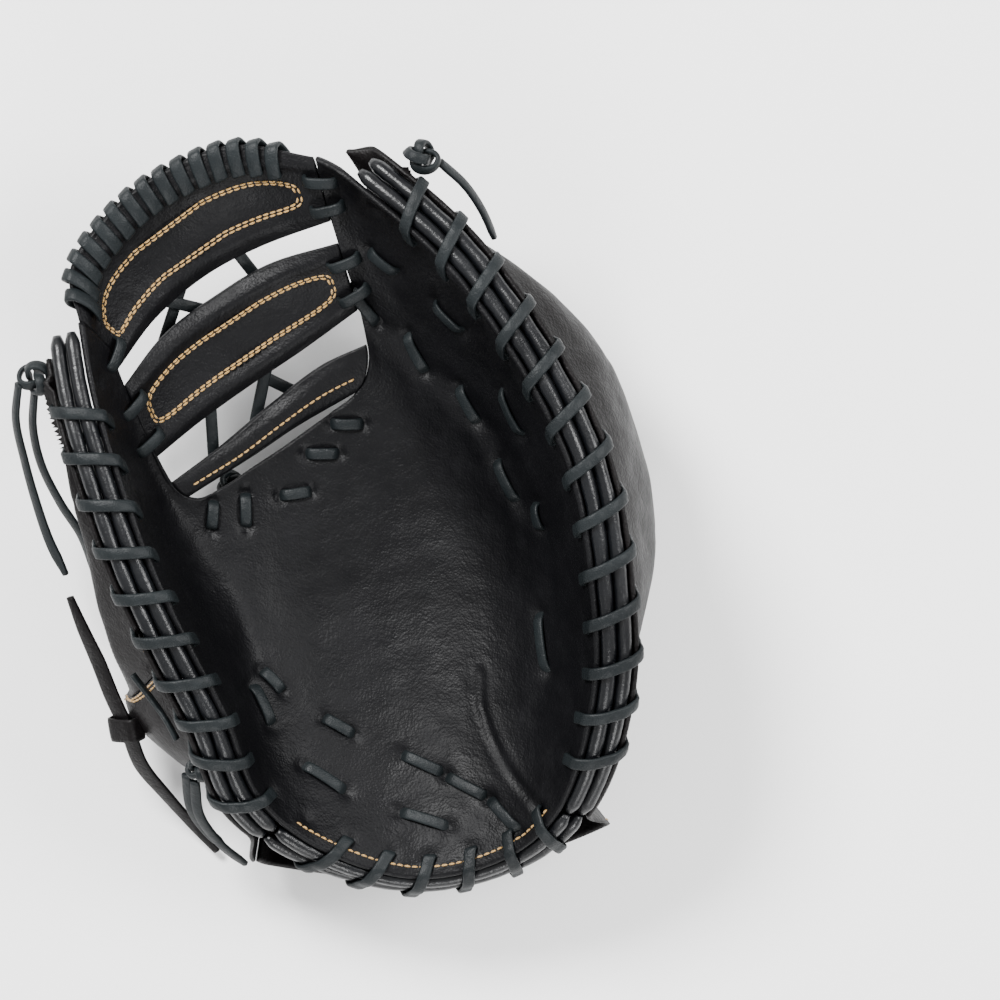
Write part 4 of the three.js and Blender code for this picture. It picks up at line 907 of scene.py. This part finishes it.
def back_panel(name, node, sections, low, high, lift=0.0, rows=60, raw=False):
    """A panel between two shares of the way over the back for each section."""
    s = np.asarray(sections)
    v = np.linspace(0, 1, rows)
    S = np.repeat(s[:, None], rows, 1)
    V = lerp(np.asarray(low)[:, None], np.asarray(high)[:, None], v[None])
    outer = back_point(S, V, 0.0)
    inner = back_point(S, V, LEATHER * 0.9)
    edge = smooth(np.minimum(V, 1 - V), 0.0, 0.06)
    way = unit(outer - inner)
    relief = back_relief(outer) * edge + lift
    outer = outer + way * col(np.minimum(relief, 0.6 + lift))
    outer[..., 2] = np.maximum(outer[..., 2], 0.05)
    inner = inner + way * col(lift)
    v_, f = skin(inner, outer)
    obj = piece(name, v_, outward_faces(v_, f), REAR, "back_leather", (node,) if node else ())
    TREES[name] = BVHTree.FromPolygons(outer.reshape(-1, 3).tolist(), grid_faces(*S.shape).tolist())
    return obj


def back_sections(start, end, pitch=1.9):
    return even_sections((start, end), pitch, 1, lambda s: back_point(s, 0.5, 0.0))


s = back_sections(BACK["start"], 4.0)
wide = back_sections(4.0, 6.72)
strap_side = back_sections(6.74, BACK["finger_seam"] - 0.02)
all_thumb = np.concatenate([back_sections(BACK["start"], 3.62), back_sections(3.62, 9.66)[1:]])
upper = np.clip(np.where(all_thumb < SEAM[0][0], 1.0, catmull_at(SEAM, all_thumb)), 0.03, 1.0)
back_panel("back_thumb", "thumb_back", all_thumb, 0 * all_thumb, upper - 0.006, 0.0, 54)
wrist = back_sections(3.9, 6.74)
low = np.clip(catmull_at(SEAM, wrist), 0.0, 0.985)
back_panel("back_wrist", None, wrist, low + 0.004, 0 * wrist + 1, 0.0, 60)

# The part of the wrist panel with the hole in it: rows run from the seam down to the strap.
hole_s = back_sections(6.74, BACK["finger_seam"] - 0.02, 1.7)
low = catmull_at(SEAM, hole_s)
rows = 70
v = np.linspace(0, 1, rows)
S = np.repeat(hole_s[:, None], rows, 1)
V = lerp((low + 0.004)[:, None], 0 * low[:, None] + STRAP["top"] + 0.012, v[None])
aside, tall = (S - HOLE["section"]) / HOLE["half"], (V - HOLE["along"]) / HOLE["tall"]
r = np.hypot(aside, tall)
push = np.where((r < 1.5) & (r > 1e-6), (1.0 + 0.5 * np.clip(r - 0, 0, 1.5) / 1.5) / np.maximum(r, 1e-6), 1)
inside = r < 0.98
outer = back_point(S, V, 0.0)
inner = back_point(S, V, LEATHER * 0.9)
way = unit(outer - inner)
outer = outer + way * col(np.minimum(back_relief(outer), 0.5))
outer[..., 2] = np.maximum(outer[..., 2], 0.05)


def holed(top, bottom, gone):
    """As skin, without the cells whose corners are all in the hole."""
    nu, nv = top.shape[:2]
    cell = ~(gone[:-1, :-1] & gone[1:, :-1] & gone[:-1, 1:] & gone[1:, 1:])
    v, faces = skin(top, bottom)
    n = (nu - 1) * (nv - 1)
    keep = cell.ravel()
    faces = np.vstack([faces[:n][keep], faces[n:2 * n][keep], faces[2 * n:]])
    rim = []
    for i, j in zip(*np.nonzero(~cell)):
        corners = ((i, j), (i, j + 1), (i + 1, j + 1), (i + 1, j))
        for k, (di, dj) in enumerate(((-1, 0), (0, 1), (1, 0), (0, -1))):
            a, b = i + di, j + dj
            if 0 <= a < nu - 1 and 0 <= b < nv - 1 and cell[a, b]:
                p, q = corners[k], corners[(k + 1) % 4]
                p, q = p[0] * nv + p[1], q[0] * nv + q[1]
                rim.append((p, q, q + nu * nv, p + nu * nv))
    return v, np.vstack([faces, np.array(rim)])


v_, f = holed(inner, outer, inside)
piece("back_wrist_open", v_, outward_faces(v_, f), REAR, "back_leather", ("wrist_back",))
TREES["back_wrist_open"] = BVHTree.FromPolygons(outer.reshape(-1, 3).tolist(), grid_faces(*S.shape).tolist())

finger = back_sections(BACK["finger_seam"] + 0.01, BACK["end"])
back_panel("back_finger", "finger_back", finger, 0 * finger, 0 * finger + 1, 0.0, 76)


# Wrist strap, patch and the hole's binding.
def strap_point(column, row, lift):
    u, v = column / 12, row / 6
    return back_point(lerp(STRAP["start"], STRAP["end"], u), lerp(STRAP["top"], 1.0, v), lift)


def strap_sheet(columns, rows, low, high, grid, relief=0.0):
    C, R = np.meshgrid(np.linspace(*columns, grid[0]), np.linspace(*rows, grid[1]), indexing="ij")
    top, bottom = strap_point(C, R, high), strap_point(C, R, low)
    edge = smooth(np.minimum(np.minimum(C - columns[0], columns[1] - C), (np.minimum(R - rows[0], rows[1] - R))), 0, 0.3)
    if relief:
        bottom = bottom - unit(top - bottom) * col(relief * waves(bottom, 41, 25) * edge - relief)
    bottom[..., 2] = np.maximum(bottom[..., 2], 0.05)
    return skin(top, bottom) + (bottom, C.shape)


STRAP_LOW = PATCH_THICK + GAP
v_, f, under, shape = strap_sheet((0.0, 12.0), (0.0, 6.0), STRAP_LOW, STRAP_LOW + STRAP_THICK, (110, 40), 0.35)
piece("strap_leather", v_, outward_faces(v_, f), REAR, "back_leather", ("wrist_strap",))
TREES["strap_leather"] = BVHTree.FromPolygons(under.reshape(-1, 3).tolist(), grid_faces(*shape).tolist())
v_, f, under, shape = strap_sheet((1.0, 7.0), (1.0, 5.0), 0.25, PATCH_THICK + 0.3, (60, 30))
piece("patch_leather", v_, outward_faces(v_, f), FELT, "patch_felt", ("wrist_patch",))
TREES["patch_leather"] = BVHTree.FromPolygons(under.reshape(-1, 3).tolist(), grid_faces(*shape).tolist())

angle = np.linspace(0, 2 * math.pi, 240, endpoint=False)
ring_s, ring_v = HOLE["section"] + HOLE["half"] * np.cos(angle), HOLE["along"] + HOLE["tall"] * np.sin(angle)
ring = back_point(ring_s, ring_v, BINDING / 2)
middle = back_point(HOLE["section"], HOLE["along"], BINDING / 2)
outs = ring - middle
outs[:, 2] = 0
outs = unit(outs)
pucker = 1 + 0.05 * np.sin(angle * 26 + 0.8 * np.sin(angle * 3)) + 0.03 * waves(ring, 51, 20)
v_, f = swept(ring, outs, np.tile((0.0, 0, 1), (len(ring), 1)), round_shape(BINDING, 20), True, np.stack([pucker, pucker], 1))
v_[:, 2] = np.maximum(v_[:, 2], 0.05)
piece("hole_binding_roll", v_, outward_faces(v_, f), BINDER, "binding_leather", ("hole_binding",))


# The roll and lace along the back's web-side edge.
def edge_point(section):
    bare = on_fan(COVER, section)[..., 0]
    point, _, normal, _, _ = palm_frame(section, bare)
    return point - normal * col(palm_thickness(section, bare))


def edge_frame(section):
    section = np.asarray(section, float)
    _, _, normal, _, _ = palm_frame(section, on_fan(COVER, section)[..., 0])
    along = unit(edge_point(section + STEP) - edge_point(section - STEP))
    return edge_point(section), unit(np.cross(along, normal)), normal


edge_depth = LACE_THICK + 2 * LACE_GAP + GAP + ROLL / 2
edge_out = -(ROLL / 2 + GAP)
s = even_sections(EDGE_ROLL, 1.7, 1, lambda x: edge_frame(x)[0])
point, out, normal = edge_frame(s)
size = 1 + 0.03 * waves(point, 61, 9)
v_, f = swept(point + out * edge_out - normal * edge_depth, out, normal, round_shape(ROLL, 16), False, np.stack([size, size], 1))
piece("web_edge_welt", v_, outward_faces(v_, f), WELT, "welt_leather", ("web_edge_roll",))
reach = ROLL / 2 + OFF
top = edge_depth - reach * 1.04
loop = [(EDGE_INSET, top), (edge_out - reach * 0.3, top), (edge_out - reach * 1.1, edge_depth - reach * 0.4),
        (edge_out - reach * 1.1, edge_depth + reach * 0.4), (edge_out - reach * 0.3, edge_depth + reach * 1.08),
        (EDGE_INSET, edge_depth + reach * 1.0)]
marks = even_sections(EDGE_ROLL, EDGE_PITCH, 6, lambda x: edge_frame(x)[0])[::6]
points, outs, _, _ = wound(marks, edge_frame, loop, 4)
lace_piece("web_edge_lace", points, outs, ("web_edge_lace",))

# Lace along the thumb side of the back that ends in the heel's knot.
lead = np.array([(4.4, 0.72), (4.75, 0.76), (5.1, 0.8), (5.4, 0.84)])
lead = catmull(lead, np.linspace(0, 1, 30))
points = back_point(lead[:, 0], lead[:, 1], -8.2)
lace_piece("heel_lead_lace", points, unit(points - back_point(lead[:, 0], lead[:, 1], 0.0)), ("heel_lead_lace",))


# Knots: a flat lace wound twice round itself.
def knot(name, centre, faces, size):
    z = unit(np.asarray(faces, float))
    x = unit(np.cross(z, (0.3, 1.0, 0.2)))
    y = np.cross(z, x)
    t = np.linspace(0, 2 * math.pi, 150, endpoint=False)
    big, small = KNOT * 0.6 * size, KNOT * 0.26 * size
    ring = big + small * np.cos(3 * t)
    local = np.stack([ring * np.cos(2 * t), ring * np.sin(2 * t) * 0.9, small * 1.25 * np.sin(3 * t)], 1)
    points = np.asarray(centre, float) + local @ np.array([x, y, z])
    ways = points - np.asarray(centre, float)
    outs = unit(ways - 0.35 * z * col(ways @ z) + z * KNOT * 0.35)
    lace_piece(name, points, outs, (name,), 4.4 * size, 1.9, True)


for name, (centre, faces, size) in KNOTS.items():
    knot(name, centre, faces, size)

up, down = (np.array(STRAP_ENDS[k][0][0], float) for k in ("strap_end_upper", "strap_end_lower"))
along, z = unit(up - down), unit(STRAP_FACES)
across = unit(np.cross(along, z))
angle = np.linspace(0, 2 * math.pi, 60, endpoint=False)
x, y = np.sign(np.cos(angle)) * np.abs(np.cos(angle)) ** 0.4, np.sign(np.sin(angle)) * np.abs(np.sin(angle)) ** 0.5
ring = across * col(x * 6.5) + z * col(y * (TAB_THICK / 2 + 1.8) * 1.3)
lace_piece("strap_keeper", (up + down) / 2 + ring, unit(ring), ("strap_keeper",), 10, 1.6, True, None, REAR, "back_leather")


# Stitches: short threads laid along a seam, each sunk a little at both ends.
def stitches(lines, gauge=0.9, stitch=2.5, pitch=3.0, rise=0.2):
    """Points and faces of the stitches along lines of (points, outs)."""
    hexagon = round_shape(gauge, 6)
    allv, allf, start = [], [], 0
    for points, outs in lines:
        gone = np.concatenate([[0], np.cumsum(np.linalg.norm(np.diff(points, axis=0), axis=-1))])
        for k in range(int(gone[-1] // pitch)):
            at = k * pitch + (gone[-1] % pitch) / 2 + stitch * np.linspace(0, 1, 5)
            line = np.stack([np.interp(at, gone, points[:, c]) for c in range(3)], -1)
            face = unit(np.stack([np.interp(at, gone, outs[:, c]) for c in range(3)], -1))
            line = line + face * col(rise * np.sin(math.pi * np.linspace(0, 1, 5)) + np.array([-0.25, 0.05, 0.12, 0.05, -0.25]))
            across, up = strap_frames(line, face)
            v, f = swept(line, across, up, hexagon, False, np.array([(0.5, 0.5), (1, 1), (1.05, 1.05), (1, 1), (0.5, 0.5)]))
            f = outward_faces(v, f)
            v[:, 2] = np.maximum(v[:, 2], 0.05)
            allv.append(v)
            allf += [tuple(int(i) + start for i in q) for q in f]
            start += len(v)
    return np.vstack(allv), allf


def doubled(points, outs, apart=3.0):
    across, _ = strap_frames(points, outs)
    return [(points + across * apart / 2, outs), (points - across * apart / 2, outs)]


def on_band(name, low, high, a, b):
    """Points on a band's face along shares a, b of it."""
    point, _, _, normal = band_frame(low, high, a, b)
    points, outs = [], []
    for p, n in zip(point, normal):
        hit, face, _, _ = TREES[name].ray_cast(Vector(p + n * 25), Vector(-n))
        if hit is not None:
            points.append(hit)
            outs.append(face if face.dot(Vector(n)) > 0 else -face)
    return np.array(points), np.array(outs)


u = np.linspace(0, 1, 120)


def outline(a0, a1, b0, b1, power=0.25):
    """A closed rounded outline in a band's shares."""
    t = np.linspace(0, 2 * math.pi, 260)
    x, y = np.cos(t), np.sin(t)
    x, y = np.sign(x) * np.abs(x) ** power, np.sign(y) * np.abs(y) ** (power * 2)
    return (a0 + a1) / 2 + (a1 - a0) / 2 * x, (b0 + b1) / 2 + (b1 - b0) / 2 * y


lines = []
for k in (0, 1):
    inset = 0.012 * k
    lines.append(on_band("web_crescent", "crescentLow", "crescentHigh", *outline(0.07 + inset, 0.93 - inset, 0.24 + 2.4 * inset, 0.62 - 2.4 * inset)))
    lines.append(on_band("web_bar", "barLow", "barHigh", *outline(0.06 + inset, 0.94 - inset, 0.28 + 2.4 * inset, 0.72 - 2.4 * inset)))
lines.append(on_band("web_base_bar", "baseLow", "baseHigh", 0.06 + 0.88 * u, 0 * u + 0.5))
piece("web_stitches", *stitches(lines), GOLD)
lines = []
point, out, normal = rim_frame(np.linspace(6.5, 9.95, 160))
hits = [PALM_TREE.ray_cast(Vector(p), Vector(-n)) for p, n in zip(point - out * 4.2 + normal * 12, normal)]
lines.append((np.array([h[0] for h in hits if h[0]]), np.array([n for h, n in zip(hits, normal) if h[0]])))
piece("heel_stitches", *stitches(lines), GOLD)


def on_back(names, section, share):
    """Points on the back's outer face at sections and shares."""
    inner, outer = back_point(section, share, LEATHER), back_point(section, share, 0.0)
    way = unit(outer - inner)
    points, outs = [], []
    for p, w in zip(outer, way):
        for name in names:
            hit, _, _, _ = TREES[name].ray_cast(Vector(p + w * 8), Vector(-w))
            if hit is not None and (Vector(p) - hit).length < 6:
                points.append(hit)
                outs.append(w)
                break
    return np.array(points), np.array(outs)


BACKS = ["back_thumb", "back_wrist", "back_wrist_open", "back_finger"]
lines = []
for gap in (0.02, 0.045):
    along_seam = _seam[(_seam[:, 0] > 3.75) & (_seam[:, 0] < 9.6)]
    lines.append(on_back(BACKS, along_seam[:, 0], along_seam[:, 1] + gap))
lines.append(on_back(["back_finger"], 0 * u + BACK["finger_seam"] + 0.07, 0.03 + 0.9 * u))
lines.append(on_back(["back_finger"], 0 * u + BACK["finger_seam"] + 0.13, 0.03 + 0.9 * u))
angle = np.linspace(0, 2 * math.pi, 200)
lines.append(on_back(BACKS, HOLE["section"] + HOLE["half"] * 1.2 * np.cos(angle), HOLE["along"] + HOLE["tall"] * 1.24 * np.sin(angle)))
piece("back_stitches", *stitches(lines), GOLD)


def on_strap(name, columns, rows):
    point = strap_point(np.asarray(columns), np.asarray(rows), 0.0)
    way = unit(point - strap_point(np.asarray(columns), np.asarray(rows), 3.0))
    points, outs = [], []
    for p, w in zip(point, way):
        hit, _, _, _ = TREES[name].ray_cast(Vector(p + w * 8), Vector(-w))
        if hit is not None:
            points.append(hit)
            outs.append(w)
    return np.array(points), np.array(outs)


t = np.linspace(0, 1, 140)
box = lambda c0, c1, r0, r1: (
    np.concatenate([lerp(c0, c1, t), 0 * t + c1, lerp(c1, c0, t), 0 * t + c0]),
    np.concatenate([0 * t + r0, lerp(r0, r1, t), 0 * t + r1, lerp(r1, r0, t)]),
)
lines = [on_strap("strap_leather", *box(0.15, 11.85, 0.25, 5.75))]
lines.append(on_strap("patch_leather", *box(1.25, 6.75, 1.3, 4.7)))
piece("strap_stitches", *stitches(lines, rise=0.1), GOLD)


# Stage, light and finish.
def floor():
    mesh = bpy.data.meshes.new("floor")
    mesh.from_pydata([(-4, -4, 0), (4, -4, 0), (4, 4, 0), (-4, 4, 0)], [], [(0, 1, 2, 3)])
    obj = bpy.data.objects.new("floor", mesh)
    bpy.context.scene.collection.objects.link(obj)
    mat, tree, shader = node_tree("studio_floor")
    where = tree.nodes.new("ShaderNodeTexCoord").outputs["Object"]
    tone = mixed(tree, ramp(tree, noise(tree, where, 3), 0, 1), (0.86, 0.86, 0.86), (0.89, 0.89, 0.89))
    tree.links.new(tone, shader.inputs["Base Color"])
    shader.inputs["Roughness"].default_value = 0.9
    mesh.materials.append(mat)
    return obj


def lamp(name, where, size, power, aim=(0, 0, 0.04)):
    data = bpy.data.lights.new(name, "AREA")
    data.shape = "DISK"
    data.size = size
    data.energy = power
    obj = bpy.data.objects.new(name, data)
    bpy.context.scene.collection.objects.link(obj)
    obj.location = where
    obj.rotation_euler = (Vector(aim) - Vector(where)).to_track_quat("-Z", "Y").to_euler()
    return obj


stage = [floor()]
world = bpy.data.worlds.new("studio")
world.use_nodes = True
world.node_tree.nodes["Background"].inputs["Color"].default_value = (1, 1, 1, 1)
world.node_tree.nodes["Background"].inputs["Strength"].default_value = 1.0
bpy.context.scene.world = world
stage.append(lamp("key", (-1.0, 1.2, 1.9), 0.8, 150))
stage.append(lamp("fill", (1.5, 0.4, 1.5), 1.0, 60))
stage.append(lamp("low", (0.2, -1.8, 1.2), 0.9, 36))
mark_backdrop(*stage)
low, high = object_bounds()
